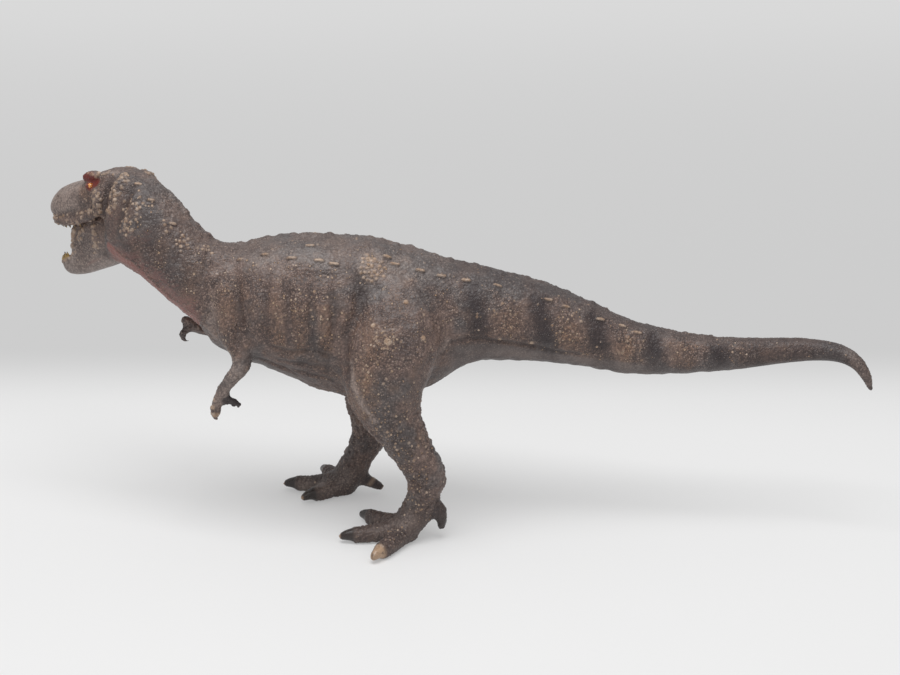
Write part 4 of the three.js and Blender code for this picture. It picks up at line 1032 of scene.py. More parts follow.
def rear_toes(clay):
    """The rear toes' pink paint, dark paint and claw."""
    pale, dark, claw = clay.zeros(), clay.zeros(), clay.zeros()
    for line, pink in REAR_TOES:
        toe = step(0.1, 0.35, mask_of(clay.points, [(line, REAR_TOE_REACH, 1.0)]))
        inside, _, place = near_line(clay.points, line, REAR_TOE_REACH)
        along = clay.zeros()
        along[inside] = place
        patches = np.maximum(step(0.86, 0.97, along), bell(abs(along - 0.28), 0.2))
        pale = np.maximum(pale, 0.6 * pink * toe * patches)
        dark = np.maximum(dark, toe * (1 - pink * patches) * 0.6)
        claw = np.maximum(claw, 0.8 * toe * (1 - pink) * step(0.3, 0.6, along))
    return pale, dark, claw


def scale_relief(clay, settings):
    """The scale pattern over the skin: height in millimetres, then its 0 to 1 profile and picks."""
    large, large_pick = scale_field(clay.points, settings.large_scale, 1)
    small, small_pick = scale_field(clay.points, settings.small_scale, 2)
    # Larger on the trunk and neck, smaller on the snout and the tail's end
    x = clay.points[:, 0]
    coarse = 0.75 * step(*FINE_HEAD_X, x) * fade(*FINE_TAIL_X, x)
    share = coarse * (0.25 + 0.75 * step(0.42, 0.6, wavy(clay.points, *SCALE_PATCHES)))
    relief = large * share + small * (1 - share)
    pick = np.where(share > 0.5, large_pick, small_pick)
    height = settings.large_height * large * share + settings.small_height * small * (1 - share)
    return height, relief, pick


def tail_stripes(points):
    """Dark bands of the tail, uneven at their edges, and its dark end."""
    x, z = points[:, 0], points[:, 2]
    uneven = 0.7 + 0.6 * wavy(points, *BAND_EDGES)
    stripe = np.zeros(len(points))
    for centre, half, strength in TAIL_BANDS:
        offset = abs(x - centre - BAND_LEAN * (BAND_MIDDLE_Z - z)) / (half * uneven)
        stripe = np.maximum(stripe, strength * fade(0.2, 1.45, offset))
    return stripe


def sculpt_body(clay, settings, rng):
    """Muscles, ribs, folds, spine, scales and warts of the trunk, tail, legs and arms."""
    x, z = clay.points[:, 0], clay.points[:, 2]
    form = forms(clay, (BODY_FORMS, mirrored))
    form += lumps(clay.points) * fade(*SMOOTH_TAIL_X, x) * step(*SMOOTH_TOES_Z, z)
    on_leg = fade(*LEG_TOP_Z, z) * step(*LEG_FOOT_Z, z)
    form += 0.65 * on_leg * (step(0.3, 0.75, wavy(clay.points, *LEG_LUMPS)) - 0.4)
    clay.push(form)
    spine = spine_bumps(clay, *BODY_SPINE)
    toe_height, claw, tip = toe_wrinkles(clay)
    up = clay.normals()[:, 2]
    x, z = clay.points[:, 0], clay.points[:, 2]
    above_fold = z - np.interp(x, TAIL_FOLD_X, TAIL_FOLD_Z)
    on_tail = step(*TAIL_ROOT_X, x)
    belly = most(step(0.25, 0.8, -up) * step(*TRUNK_Z, z), fade(-0.6, 0.9, above_fold) * on_tail)
    # Upward-facing back: the bluish grey laid here is painted light, for the sheen and shade of the
    # tops; the dark top of the tail is paint
    top = step(0.55, 0.95, up) * step(*BACK_Z, z)
    smooth = np.clip(1 - 0.8 * belly - claw, 0.08, 1)
    height, relief, pick = scale_relief(clay, settings)
    dots, light = warts(clay, WART_PATCHES, rng)
    for centre, radius, rise in BIG_WARTS:
        for place in (centre, mirrored(centre)):
            bump(clay, place, radius, rise, 0.95, dots, light)
    for index in rng.choice(len(clay.points), STRAY_WARTS):
        if clay.points[index, 2] < 8 or belly[index] > 0.5:
            continue
        bump(clay, clay.points[index], rng.uniform(0.38, 0.5), 0.15, rng.uniform(0.25, 0.6),
             dots, light)
    bars, bars_light, shadow = long_scales(clay, LONG_SCALES, *BODY_BARS)
    banded = step(0.1, 0.3, mask_of(clay.points, [(BANDED_FINGER, FINGER_REACH, 1.0)]))
    banded = banded * step(-0.4, 0.25, np.sin(2 * np.pi * z / FINGER_BAND_PITCH))
    dark_finger = mask_of(clay.points, [(DARK_FINGER, DARK_FINGER_REACH, 1.0)])
    dark_finger = step(0.1, 0.35, dark_finger)
    pale_toe, dark_toe, rear_claw = rear_toes(clay)
    clay.push(height * smooth + spine + toe_height + np.maximum(dots, bars))
    # Dark wash and painted shade in the grooves, and strokes of painted shade and shadow
    grooves = marks(clay, strokes_along(BODY_WASH_AND_SHADE, mirrored) + pair_strokes(BODY_SHADES, mirrored))
    claw = np.maximum(claw, rear_claw)
    stripe = tail_stripes(clay.points)
    x, z = clay.points[:, 0], clay.points[:, 2]
    stripe *= 1 - 0.75 * step(-6.0, -0.5, np.interp(x, TAIL_FOLD_X, TAIL_FOLD_Z) - z)
    stripe *= 1 - 0.5 * step(0.55, 0.9, up)
    # Dark paint, with the painted shadow below the long scales
    stripe = most(stripe, 0.55 * step(*DARK_END_X, x), 0.5 * top * on_tail, dark_finger, dark_toe,
                  0.85 * shadow)
    speckle, warm, pale = (mask_of(clay.points, pair_strokes(rows, mirrored))
                           for rows in (SPECKLES, WARM_STROKES, PALE_STROKES))
    return {
        "relief": relief * smooth, "pick": pick, "pale": pale, "warm": warm, "stripe": stripe,
        "light": most(light, pale_toe, bars_light, 0.75 * banded),
        "speckle": (DOTS_EVERYWHERE + speckle) * (1 - 0.8 * belly) * (1 - claw),
        "cool": np.maximum(belly, 0.75 * top), "claw": claw, "tip": tip,
        "foot": fade(*FOOT_Z, z), "wash": grooves,
    }


def mouth_mask(points):
    """1 inside the open mouth, from the palate to the throat."""
    local = in_frame_of(HEAD, points)
    lip_y = np.interp(local[:, 0], INNER_LIP_X, INNER_LIP_Y)
    lip_z = np.interp(local[:, 0], INNER_LIP_X, INNER_LIP_Z)
    within = fade(-1.5, -0.9, abs(local[:, 1]) - lip_y) * step(*MOUTH_X, local[:, 0])
    return within * fade(-0.2, 0.6, local[:, 2] - lip_z - 1.2) * (local[:, 2] > MOUTH_BOTTOM)


def sculpt_head(clay, settings, rng):
    """Snout, lips, brow, eyelids, cheeks, neck folds, scales and warts of the neck and head."""
    form = forms(clay, (NECK_FORMS, mirrored), (HEAD_FORMS, other_cheek))
    form += lines_field(clay, LIPS, 2.0, 0.35)
    form += lumps(clay.points) * step(*SMOOTH_SNOUT_X, clay.points[:, 0])
    clay.push(form * (1 - mouth_mask(clay.points)))
    for eye in pair_up([[EYE_CENTRE]], other_cheek):
        for radius, height in (EYE_RIM, EYE_SOCKET):
            clay.push(line_field(clay.points, eye, radius, height))
    spine = spine_bumps(clay, *NECK_SPINE)
    height, relief, pick = scale_relief(clay, settings)
    dots, light = warts(clay, NECK_WARTS, rng)
    bars, bars_light, shadow = long_scales(clay, NECK_SCALES, *NECK_BARS)
    rows_of_bumps(clay, HEAD_ROWS, rng, dots, light)
    inside_mouth = mouth_mask(clay.points)
    smooth = np.clip(1 - inside_mouth, 0, 1)
    local = in_frame_of(HEAD, clay.points)
    snout = step(*SNOUT_X, local[:, 0]) * step(*SNOUT_Z, local[:, 2])
    clay.push((height * (1 - 0.75 * snout) + spine + np.maximum(dots, bars)) * smooth)
    x, up = clay.points[:, 0], clay.normals()[:, 2]
    throat = mask_of(clay.points, strokes_along((([THROAT_LINE], THROAT_REACH, 1.0),), mirrored))
    below = step(-0.15, 0.35, -up) * step(*CHIN_END_X, x)
    throat = most(step(0.15, 0.6, throat), 0.6 * below) * fade(*THROAT_END_X, x)
    red = (([BROW], BROW_REACH, 1.0), ([[EYE_CENTRE]], SOCKET_REACH, 1.0))
    brow = step(0.1, 0.75, mask_of(clay.points, strokes_along(red, other_cheek)))
    # Dark wash and painted shade in the grooves, and strokes of painted shade
    grooves = marks(clay, strokes_along(NECK_WASH_AND_SHADE, mirrored) + strokes_along(HEAD_WASH_AND_SHADE, other_cheek)
                    + pair_strokes(NECK_SHADES, mirrored) + pair_strokes(SNOUT_SHADES, other_cheek)
                    + [(NOSTRIL, 1.0, 0.8)])
    # Upward-facing top of head and neck: the bluish grey laid here is painted shade
    top = step(0.5, 0.9, up) * (1 - snout)
    speckle = DOTS_EVERYWHERE + mask_of(clay.points, pair_strokes(NECK_SPECKLES, mirrored)
                                        + pair_strokes(HEAD_SPECKLES, other_cheek))
    warm = mask_of(clay.points,
                   pair_strokes(NECK_WARM, mirrored) + pair_strokes(SNOUT_WARM, other_cheek))
    pale = np.maximum(0.75 * snout, mask_of(clay.points, pair_strokes(PALE_HEAD, other_cheek)))
    return {
        "relief": relief * smooth, "pick": pick, "light": np.maximum(light, bars_light) * smooth,
        # The dark paint here is only the painted shadow below the long scales
        "pale": pale * smooth * (1 - brow), "warm": warm, "stripe": 0.8 * shadow,
        "speckle": speckle * smooth * (1 - 0.7 * throat) * (1 - 0.6 * snout), "cool": 0.5 * top,
        "throat": throat * smooth, "brow": brow, "flesh": inside_mouth, "wash": grooves,
    }


def sculpt_jaw(clay, settings, rng):
    """Cheek wrinkles, lip scales and scales of the lower jaw."""
    local = in_frame_of(JAW, clay.points)
    along, high = local[:, 0] / JAW_SIZE.x, local[:, 2] / JAW_SIZE.z
    clay.push(forms(clay, (JAW_FORMS, other_cheek)))
    raised = FLAP_RISE * bell(abs(along - FLAP_MIDDLE), FLAP_REACH) * step(0.2, 0.8, high)
    clay.points += raised[:, None] * np.array(JAW.to_3x3() @ Vector((0, 0, 1)))
    height, relief, pick = scale_relief(clay, settings)
    dots, light = clay.zeros(), clay.zeros()
    rows_of_bumps(clay, JAW_ROWS, rng, dots, light)
    width = np.interp(along, JAW_ALONG, JAW_WIDTHS)
    within = fade(-1.5, -0.9, abs(local[:, 1]) - width * JAW_SIZE.y / 2)
    flesh = within * step(-0.62, -0.5, high) * step(6, 8, local[:, 0])
    # Downward-facing chin: the pale laid there is partly the chin's paint, partly painted light
    # reflected up from the floor
    under = step(-0.1, 0.6, -clay.normals()[:, 2])
    plain = most(under, 0.8 * step(0.55, 0.75, along), 0.85 * fade(-0.85, -0.4, high))
    clay.push((height * (1 - 0.75 * plain) + dots) * (1 - flesh))
    speckle = mask_of(clay.points, strokes_along(((FLAP_COLUMNS, 2.4, 0.8),), other_cheek))
    edges = marks(clay, strokes_along((([FLAP_EDGE], 2.2, 0.5),), other_cheek))
    return {
        "relief": relief * (1 - flesh) * (1 - 0.6 * plain), "pick": pick,
        "light": light * (1 - flesh),
        "speckle": (DOTS_EVERYWHERE + speckle) * (1 - flesh) * (1 - plain),
        # Dark wash and painted shade in the jaw's groove and hollow
        "wash": mask_of(clay.points, strokes_along(JAW_WASH_AND_SHADE, other_cheek)),
        "pale": np.maximum(plain, edges) * (1 - flesh), "flesh": flesh,
    }


def paint(obj, masks):
    """Stores the sculpted masks on the skin, for its material to read."""
    for name in MASKS:
        values = masks.get(name, np.zeros(len(obj.data.vertices)))
        attribute = obj.data.attributes.new(name, "FLOAT", "POINT")
        attribute.data.foreach_set("value", np.clip(values, 0, 1).astype(np.float32))


# ---- dividing the fused skin between the moulded pieces ----


class Owners:
    """Which moulded piece lies nearest to a point, and how large its facets are there."""

    def __init__(self, nodes):
        corners, faces, self.owner = [], [], []
        for number, node in enumerate(nodes):
            bm = figure_mesh(node)
            first = len(corners)
            corners += [vertex.co.copy() for vertex in bm.verts]
            faces += [[first + vertex.index for vertex in face.verts] for face in bm.faces]
            self.owner += [number] * len(bm.faces)
            bm.free()
        self.area = [(corners[b] - corners[a]).cross(corners[c] - corners[a]).length / 2
                     for a, b, c in faces]
        self.tree = BVHTree.FromPolygons(corners, faces)

    def of(self, points):
        found = [self.tree.find_nearest(point)[2] for point in points.tolist()]
        return np.array([self.owner[i] for i in found]), np.array([self.area[i] for i in found])

    def distance(self, points):
        return np.array([self.tree.find_nearest(point)[3] for point in points.tolist()])


def lap_seam(clay, owner, other, own, node):
    """Lets a skin run on a little under its neighbour, sinking as it goes; returns the sinking."""
    beyond = np.nonzero(owner == other)[0]
    gap = Owners((node,)).distance(clay.points[beyond])
    near = gap < SEAM_LAP
    owner[beyond[near]] = own
    sunk = np.zeros(len(clay.points))
    sunk[beyond[near]] = -SEAM_SINK * gap[near] / SEAM_LAP
    return sunk


def split_by_owner(obj, nodes, owner):
    """Cuts the fused skin along the glued seams into one closed skin per piece."""
    mesh = obj.data
    normals = read(mesh.vertex_normals, "vector", 3)
    keep = mesh.attributes.new("fused_normal", "FLOAT_VECTOR", "POINT")
    keep.data.foreach_set("vector", normals.ravel())
    loops = read(mesh.loops, "vertex_index", 1, np.int32)
    starts = read(mesh.polygons, "loop_start", 1, np.int32)
    face_owner = owner[loops[starts]]
    pieces = {}
    for number, node in enumerate(nodes):
        bm = bmesh.new()
        bm.from_mesh(mesh)
        bm.faces.ensure_lookup_table()
        others = [bm.faces[i] for i in np.nonzero(face_owner != number)[0]]
        bmesh.ops.delete(bm, geom=others, context="FACES")
        close_borders(bm)
        pieces[node] = new_object(node + "_skin", bm)
        set_normals(pieces[node])
    bpy.data.objects.remove(obj)
    return pieces

def close_borders(bm):
    """Turns each open border inwards and caps it, out of sight below the neighbouring skin."""
    border = [edge for edge in bm.edges if edge.is_boundary]
    if not border:
        return
    turned = bmesh.ops.extrude_edge_only(bm, edges=border)["geom"]
    for vertex in (item for item in turned if isinstance(item, bmesh.types.BMVert)):
        inward = next(edge.other_vert(vertex) for edge in vertex.link_edges if not edge.is_boundary)
        vertex.co = vertex.co - inward.normal * BORDER_DEPTH
    rim = [edge for edge in bm.edges if edge.is_boundary]
    caps = bmesh.ops.holes_fill(bm, edges=rim, sides=0)["faces"]
    bmesh.ops.triangulate(bm, faces=caps)
    bmesh.ops.recalc_face_normals(bm, faces=bm.faces)


def set_normals(obj):
    """Shades the cut skins as one, with the fused skin's normals."""
    mesh = obj.data
    kept = mesh.attributes["fused_normal"]
    normals = read(kept.data, "vector", 3)
    mesh.normals_split_custom_set_from_vertices(normals.tolist())
    mesh.attributes.remove(mesh.attributes["fused_normal"])


def smooth_facets(clay, owners, rounds):
    """Rounds off the moulded pieces' facets, more where they are larger."""
    owner, area = owners.of(clay.points)
    strength = np.clip(np.sqrt(2 * area) / FACET, 0, 1) ** 1.5
    clay.relax(RELAX * np.clip(clay.spread(strength, 8), 0, 1), rounds)
    return owner


def settle(obj):
    """Takes a finished piece from figure millimetres to the frame's metres."""
    obj.data.transform(to_frame())
    obj.data.update()


def hand_over(obj, body, slot, material, *nodes):
    obj.data.materials.clear()
    obj.data.materials.append(material)
    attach(obj, body)
    if nodes:
        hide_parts(*nodes)


# The body, head and jaw draw at random from seeds of their own
SEED_SHIFT = {sculpt_body: 0, sculpt_head: 1, sculpt_jaw: 2}


def sculpted(context, name, nodes, own, crops, rounds, sculpt, finer=False):
    """A fused, smoothed, sculpted and painted skin, and which node owns each of its points."""
    settings = context.scene.dinosaur_skin
    coarser = 1.0
    voxel = settings.body_voxel if finer else settings.head_voxel
    obj = fused(name, nodes, voxel * coarser, crops)
    clay = Clay(obj)
    owners = Owners(nodes)
    owner = smooth_facets(clay, owners, rounds)
    clay.push(np.full(len(clay.points), -SWELL))
    if finer:
        clay.write()
        divided(obj)
        clay = Clay(obj)
        owner, _ = owners.of(clay.points)
    if crops:
        sunk = lap_seam(clay, owner, len(own), 0, own[0])
    rng = np.random.default_rng(settings.seed + SEED_SHIFT[sculpt])
    masks = sculpt(clay, settings, rng)
    if crops:
        clay.push(sunk)
    clay.write()
    paint(obj, masks)
    return obj, owner


# ---- shader nodes ----


class Graph:
    """Short calls for placing and linking shader nodes."""

    def __init__(self, tree):
        self.tree = tree

    def node(self, kind, **settings):
        made = self.tree.nodes.new(kind)
        for key, value in settings.items():
            setattr(made, key, value)
        return made

    def plug(self, socket, value):
        if isinstance(value, bpy.types.NodeSocket):
            self.tree.links.new(value, socket)
        elif hasattr(socket.default_value, "__len__") and len(socket.default_value) == 4:
            socket.default_value = (*value[:3], 1.0)
        else:
            socket.default_value = value

    def wire(self, node, values):
        """Plugs values into a node's named or numbered sockets."""
        for socket, value in values.items():
            self.plug(node.inputs[socket], value)
        return node.outputs

    def math(self, operation, first, second=0.0, third=None, clamp=False):
        made = self.node("ShaderNodeMath", operation=operation, use_clamp=clamp)
        terms = {0: first, 1: second} if third is None else {0: first, 1: second, 2: third}
        return self.wire(made, terms)[0]

    def fitted(self, value, factor, offset, clamp=False):
        return self.math("MULTIPLY_ADD", value, factor, offset, clamp)

    def times(self, *factors):
        product = factors[0]
        for factor in factors[1:]:
            product = self.math("MULTIPLY", product, factor)
        return product

    def mix(self, share, first, second, **settings):
        made = self.node("ShaderNodeMix", data_type="RGBA", clamp_factor=True, **settings)
        return self.wire(made, {0: share, 6: first, 7: second})[2]

    def mask(self, name):
        return self.node("ShaderNodeAttribute", attribute_name=name).outputs["Fac"]

    def place(self):
        return self.node("ShaderNodeTexCoord").outputs["Object"]

    def noise(self, scale, detail=3.0, roughness=0.55):
        made = self.wire(self.node("ShaderNodeTexNoise"), {
            "Vector": self.place(), "Scale": scale, "Detail": detail, "Roughness": roughness})
        return made["Fac"]

    def cells(self, scale):
        """Small cells: the distance from each one's middle, and three random numbers for it."""
        made = self.wire(self.node("ShaderNodeTexVoronoi"), {
            "Vector": self.place(), "Scale": scale})
        parts = self.wire(self.node("ShaderNodeSeparateColor"), {0: made["Color"]})
        return made["Distance"], parts[0], parts[1], parts[2]

    def between(self, value, low, high):
        made = self.node("ShaderNodeMapRange", interpolation_type="SMOOTHSTEP")
        return self.wire(made, {"Value": value, "From Min": low, "From Max": high})["Result"]

    def bumps(self, shader, strength, distance, height):
        made = self.wire(self.node("ShaderNodeBump"), {
            "Strength": strength, "Distance": distance, "Height": height})
        self.plug(shader.inputs["Normal"], made["Normal"])


HIDE_COLOURS = ("hide", "cool", "warm", "pale", "wash", "dry", "wart", "ochre", "stripe", "foot",
                "throat", "brow", "flesh", "claw", "claw_tip")
HIDE_SOCKETS = tuple((name, "INPUT", "NodeSocketColor") for name in HIDE_COLOURS) + (
    ("Mottle", "INPUT", "NodeSocketFloat"),
    ("Dry brushing", "INPUT", "NodeSocketFloat"),
    ("Colour", "OUTPUT", "NodeSocketColor"),
    ("Roughness", "OUTPUT", "NodeSocketFloat"),
    ("Height", "OUTPUT", "NodeSocketFloat"),
)
# Cells to the metre of the grit and of the dots
GRIT = 1450.0
DOTS = 820.0


def painted_hide():
    """Washes and painted shade, dry brushing and marks of the hide: colour, roughness and height.
    """
    tree = bpy.data.node_groups.new("Painted hide", "ShaderNodeTree")
    for name, side, kind in HIDE_SOCKETS:
        tree.interface.new_socket(name=name, in_out=side, socket_type=kind)
    graph = Graph(tree)
    between, fitted, mask, noise, times = (
        graph.between, graph.fitted, graph.mask, graph.noise, graph.times)
    given = graph.node("NodeGroupInput").outputs
    colour = given["hide"]

    def without(value):
        return graph.math("SUBTRACT", 1.0, value, clamp=True)

    def lay(share, over):
        """Lays a paint over what is there."""
        nonlocal colour
        colour = graph.mix(share, colour, given[over] if isinstance(over, str) else over)

    relief, cool, claw, flesh = mask("relief"), mask("cool"), mask("claw"), mask("flesh")
    skin = times(without(flesh), without(claw))
    mottle, brushing = given["Mottle"], given["Dry brushing"]
    grain = noise(420.0, 5.0, 0.7)
    lay(times(between(noise(62.0, 4.0), 0.46, 0.62), mottle), "cool")
    warm_patches = between(noise(95.0, 4.0, 0.62), 0.5, 0.66)
    warmth = fitted(mask("warm"), 0.9, times(warm_patches, mottle, 0.6), clamp=True)
    lay(times(warmth, between(grain, 0.2, 0.5)), "warm")
    # Bluish grey of the belly, and painted light on the upward-facing tops
    lay(times(cool, 0.75), "cool")
    lay(times(mask("foot"), 0.8), "foot")
    lay(times(mask("pale"), between(grain, 0.1, 0.5)), "pale")
    clouds = between(noise(170.0, 4.0, 0.65), 0.5, 0.68)
    lay(times(clouds, mottle, 0.4, skin), "wash")

    # Fine grit: dark and light grains, and the wash and painted shade between them
    depth, first, second, _ = graph.cells(GRIT)
    patchy = fitted(between(noise(110.0, 3.0), 0.36, 0.62), 0.55, 0.45)
    gritty = times(skin, patchy, fitted(cool, -0.45, 1.0),
                   fitted(mask("pale"), -0.6, 1.0, clamp=True))
    light_grains = times(between(second, 0.66, 0.95), between(depth, 0.45, 0.2), gritty)
    lay(times(between(first, 0.4, 0.12), 0.7, gritty), "wash")
    lay(times(light_grains, brushing, 0.95), "dry")
    lay(times(between(depth, 0.36, 0.6), 0.6, gritty), "wash")
    # Dark wash and painted shade in the grooves between the scales
    groove = without(between(relief, 0.0, 0.55))
    hollow = times(groove, between(grain, 0.25, 0.6),
                   graph.math("SUBTRACT", 0.6, times(cool, 0.4)))
    lay(times(hollow, skin), "wash")
    tops = times(between(relief, 0.55, 1.0), between(mask("pick"), 0.55, 0.95))
    lay(times(tops, between(noise(150.0, 3.0), 0.4, 0.64), brushing, 0.75), "dry")

    # Large marks
    lay(times(mask("throat"), between(grain, 0.1, 0.5), 0.85), "throat")
    lay(mask("brow"), "brow")
    # Dark wash and painted shade from the sculpted grooves and shade strokes
    lay(times(mask("wash"), 0.6), "wash")
    # Dark band paint, and painted shadow below the long scales
    lay(times(mask("stripe"), between(grain, 0.0, 0.4), 0.85), "stripe")

    # Dots, thick where the speckle mask is high
    reach, chance, size, tint = graph.cells(DOTS)
    wanted = between(graph.math("SUBTRACT", mask("speckle"), chance), -0.02, 0.06)
    past_edge = graph.math("SUBTRACT", reach, fitted(size, 0.24, 0.16))
    dot = times(between(past_edge, 0.05, -0.05), wanted, skin)
    # A ring of painted shade round each dot, to show it standing up
    lay(times(between(past_edge, 0.28, 0.02), wanted, skin, 0.35), "wash")
    lay(times(dot, 0.8), graph.mix(tint, given["ochre"], given["wart"]))
    dabs = times(mask("light"), between(grain, 0.1, 0.45), 0.9)
    lay(dabs, graph.mix(mask("pick"), given["wart"], given["ochre"]))
    lay(flesh, "flesh")
    lay(claw, "claw")
    lay(times(mask("tip"), between(grain, 0.2, 0.6)), "claw_tip")

    rough = fitted(groove, 0.12, 0.3)
    for value, factor in ((grain, 0.14), (first, 0.1), (claw, -0.24), (flesh, -0.2)):
        rough = fitted(value, factor, rough)
    height = fitted(times(between(depth, 0.6, 0.1), gritty), 0.5, times(grain, 0.4))
    graph.wire(graph.node("NodeGroupOutput"), {
        "Colour": colour, "Roughness": rough, "Height": fitted(dot, 0.9, height)})
    return tree


def new_material(name):
    material = bpy.data.materials.new(name)
    material.use_nodes = True
    graph = Graph(material.node_tree)
    return material, graph, material.node_tree.nodes["Principled BSDF"]


def hide_material(name, group, mottle, brushing, bump_strength):
    """A painted skin with its own amounts of mottling and dry brushing."""
    paints = bpy.context.scene.dinosaur_paint
    material, graph, shader = new_material(name)
    hide = graph.wire(graph.node("ShaderNodeGroup", node_tree=group), {
        **{key: tuple(getattr(paints, key)) for key in HIDE_COLOURS},
        "Mottle": mottle, "Dry brushing": brushing})
    graph.wire(shader, {"Base Color": hide["Colour"], "Roughness": hide["Roughness"]})
    graph.bumps(shader, bump_strength, HIDE_BUMPS, hide["Height"])
    return material


def grained_material(name, light, dark, scale, roughness, metal=0.0, coat=0.0):
    """Two paints mottled together, for teeth, tongue and pin."""
    material, graph, shader = new_material(name)
    grain = graph.noise(scale, 4.0, 0.6)
    graph.wire(shader, {
        "Base Color": graph.mix(graph.between(grain, 0.35, 0.65), dark, light),
        "Roughness": graph.fitted(grain, 0.15, roughness),
        "Metallic": metal, "Coat Weight": coat})
    graph.bumps(shader, 0.3, SMALL_BUMPS, grain)
    return material


def shade(paint, factor):
    return tuple(factor * channel for channel in paint)


HIDES = {}


def hide_for(node):
    """The painted skin of a piece; all share one group, so that they match at the seams."""
    if not HIDES:
        group = painted_hide()
        HIDES["hide"] = hide_material("painted_hide", group, 0.9, 0.85, 0.9)
        HIDES["jaw"] = hide_material("painted_jaw", group, 0.5, 0.7, 0.6)
    return HIDES["jaw"] if node == "lower_jaw" else HIDES["hide"]


def floor_material(stage):
    """Pale floor that takes shadows near the figure and turns into a plain pale backdrop far
    behind. For camera and glossy rays part of it glows, a painted light that lifts the shadows near
    the figure.
    """
    material, graph, shader = new_material("pale_floor")
    place = graph.wire(graph.node("ShaderNodeSeparateXYZ"), {0: graph.place()})
    away = place["Y"]
    speck = graph.fitted(graph.noise(8.0, 2.0), 0.02, 0.99)
    tone = graph.mix(1.0, tuple(stage.floor), speck, blend_type="MULTIPLY")
    graph.wire(shader, {"Base Color": tone, "Roughness": 0.7})
    past_figure = graph.between(away, *LIT_FLOOR_END)
    backdrop = graph.mix(
        graph.between(away, *BACKDROP), tuple(stage.far), shade(stage.far, BACKDROP_PALER))
    wall_and_glow = graph.wire(graph.node("ShaderNodeEmission"), {
        "Color": graph.mix(past_figure, tuple(stage.near), backdrop)})
    rays = graph.node("ShaderNodeLightPath").outputs
    seen = graph.math("MAXIMUM", rays["Is Camera Ray"], rays["Is Glossy Ray"])
    # The floor glows at least this much near the figure, a painted light over its shadows
    far_share = graph.math("MAXIMUM", past_figure, SOFTER_SHADOW)
    blend = graph.node("ShaderNodeMixShader")
    graph.plug(blend.inputs[0], graph.times(far_share, seen))
    links = material.node_tree.links
    links.new(shader.outputs[0], blend.inputs[1])
    links.new(wall_and_glow[0], blend.inputs[2])
    links.new(blend.outputs[0], material.node_tree.nodes["Material Output"].inputs["Surface"])
    return material


# ---- small pieces ----


def horn(bm, root, direction, bend, length, width, sides=10, rings=6, blunt=0.06):
    """A curved cone from its root, closed at both ends."""
    direction = direction.normalized()
    turn = direction.to_track_quat("Z", "Y").to_matrix().to_4x4()
    place = Matrix.Translation(root) @ turn
    ring = bmesh.ops.create_circle(
        bm, cap_ends=True, segments=sides, radius=width / 2, matrix=place)["verts"]
    edges = list({edge for vertex in ring for edge in vertex.link_edges})
    centre = root.copy()
    radius = width / 2
    for i in range(1, rings + 1):
        share = i / rings
        grown = bmesh.ops.extrude_edge_only(bm, edges=edges)["geom"]
        ring = [item for item in grown if isinstance(item, bmesh.types.BMVert)]
        edges = [item for item in grown if isinstance(item, bmesh.types.BMEdge)]
        target = root + direction * length * share + bend * share * share
        next_radius = width / 2 * max(blunt, (1 - share ** 2.2))
        for vertex in ring:
            vertex.co = target + (vertex.co - centre) * (next_radius / radius)
        centre, radius = target, next_radius
    bmesh.ops.pointmerge(bm, verts=ring, merge_co=centre + direction * width * blunt)


def finish_small(name, bm, body, slot, material):
    """Puts a small piece in the frame, rounded by one subdivision."""
    bmesh.ops.recalc_face_normals(bm, faces=bm.faces)
    for face in bm.faces:
        face.smooth = True
    obj = new_object(name, bm)
    settle(obj)
    rounding = obj.modifiers.new("Rounding", "SUBSURF")
    rounding.levels = rounding.render_levels = 1
    hand_over(obj, body, slot, material)


def finish_skin(obj, body, node):
    settle(obj)
    obj.data.polygons.foreach_set("use_smooth", np.ones(len(obj.data.polygons), bool))
    hand_over(obj, body, SLOT_OF[node], hide_for(node), node)


# ---- operators ----


class DINOSAUR_OT_body(bpy.types.Operator):
    """Sculpt and paint the skin of the torso, tail, legs and arms"""

    bl_idname = "dinosaur.body"
    bl_label = "Body skin"

    def execute(self, context):
        crops = {"neck_and_head": ((NECK_CROP, -1),)}
        body, owner = sculpted(context, "body", (*BODY_NODES, "neck_and_head"), BODY_NODES,
                               crops, BODY_ROUNDS, sculpt_body, finer=True)
        for node, skin in split_by_owner(body, BODY_NODES, owner).items():
            finish_skin(skin, "figure", node)
        return {"FINISHED"}


class DINOSAUR_OT_head(bpy.types.Operator):
    """Sculpt and paint the skin of the neck and head"""

    bl_idname = "dinosaur.head"
    bl_label = "Neck and head skin"

    def execute(self, context):
        own = ("neck_and_head",)
        head, owner = sculpted(context, "head", (*own, "torso"), own,
                               {"torso": ((TORSO_CROP, 1),)}, HEAD_ROUNDS, sculpt_head)
        finish_skin(split_by_owner(head, own, owner)[own[0]], "figure", own[0])
        return {"FINISHED"}


class DINOSAUR_OT_jaw(bpy.types.Operator):
    """Sculpt and paint the skin of the lower jaw"""

    bl_idname = "dinosaur.jaw"
    bl_label = "Lower jaw skin"

    def execute(self, context):
        own = ("lower_jaw",)
        jaw, _ = sculpted(context, "lower_jaw_skin", own, own, None, BODY_ROUNDS, sculpt_jaw)
        finish_skin(jaw, "jaw", own[0])
        return {"FINISHED"}


# The upper teeth on a side, where they start along the lip, their span, and how far inside it
UPPER_TEETH = 8
UPPER_ALONG = (0.38, 0.58)
TOOTH_INSET = 0.3
# The lower teeth on a side, their start and span, their place in the rim, and its half width
LOWER_TEETH = 5
LOWER_ALONG = (0.84, 0.13)
RIM_INSET = 0.9
GUM_HIGH = -0.13
RIM_ALONG = (0.73, 0.79, 0.88, 0.95, 0.99)
RIM_WIDTHS = (0.77, 0.72, 0.61, 0.49, 0.36)


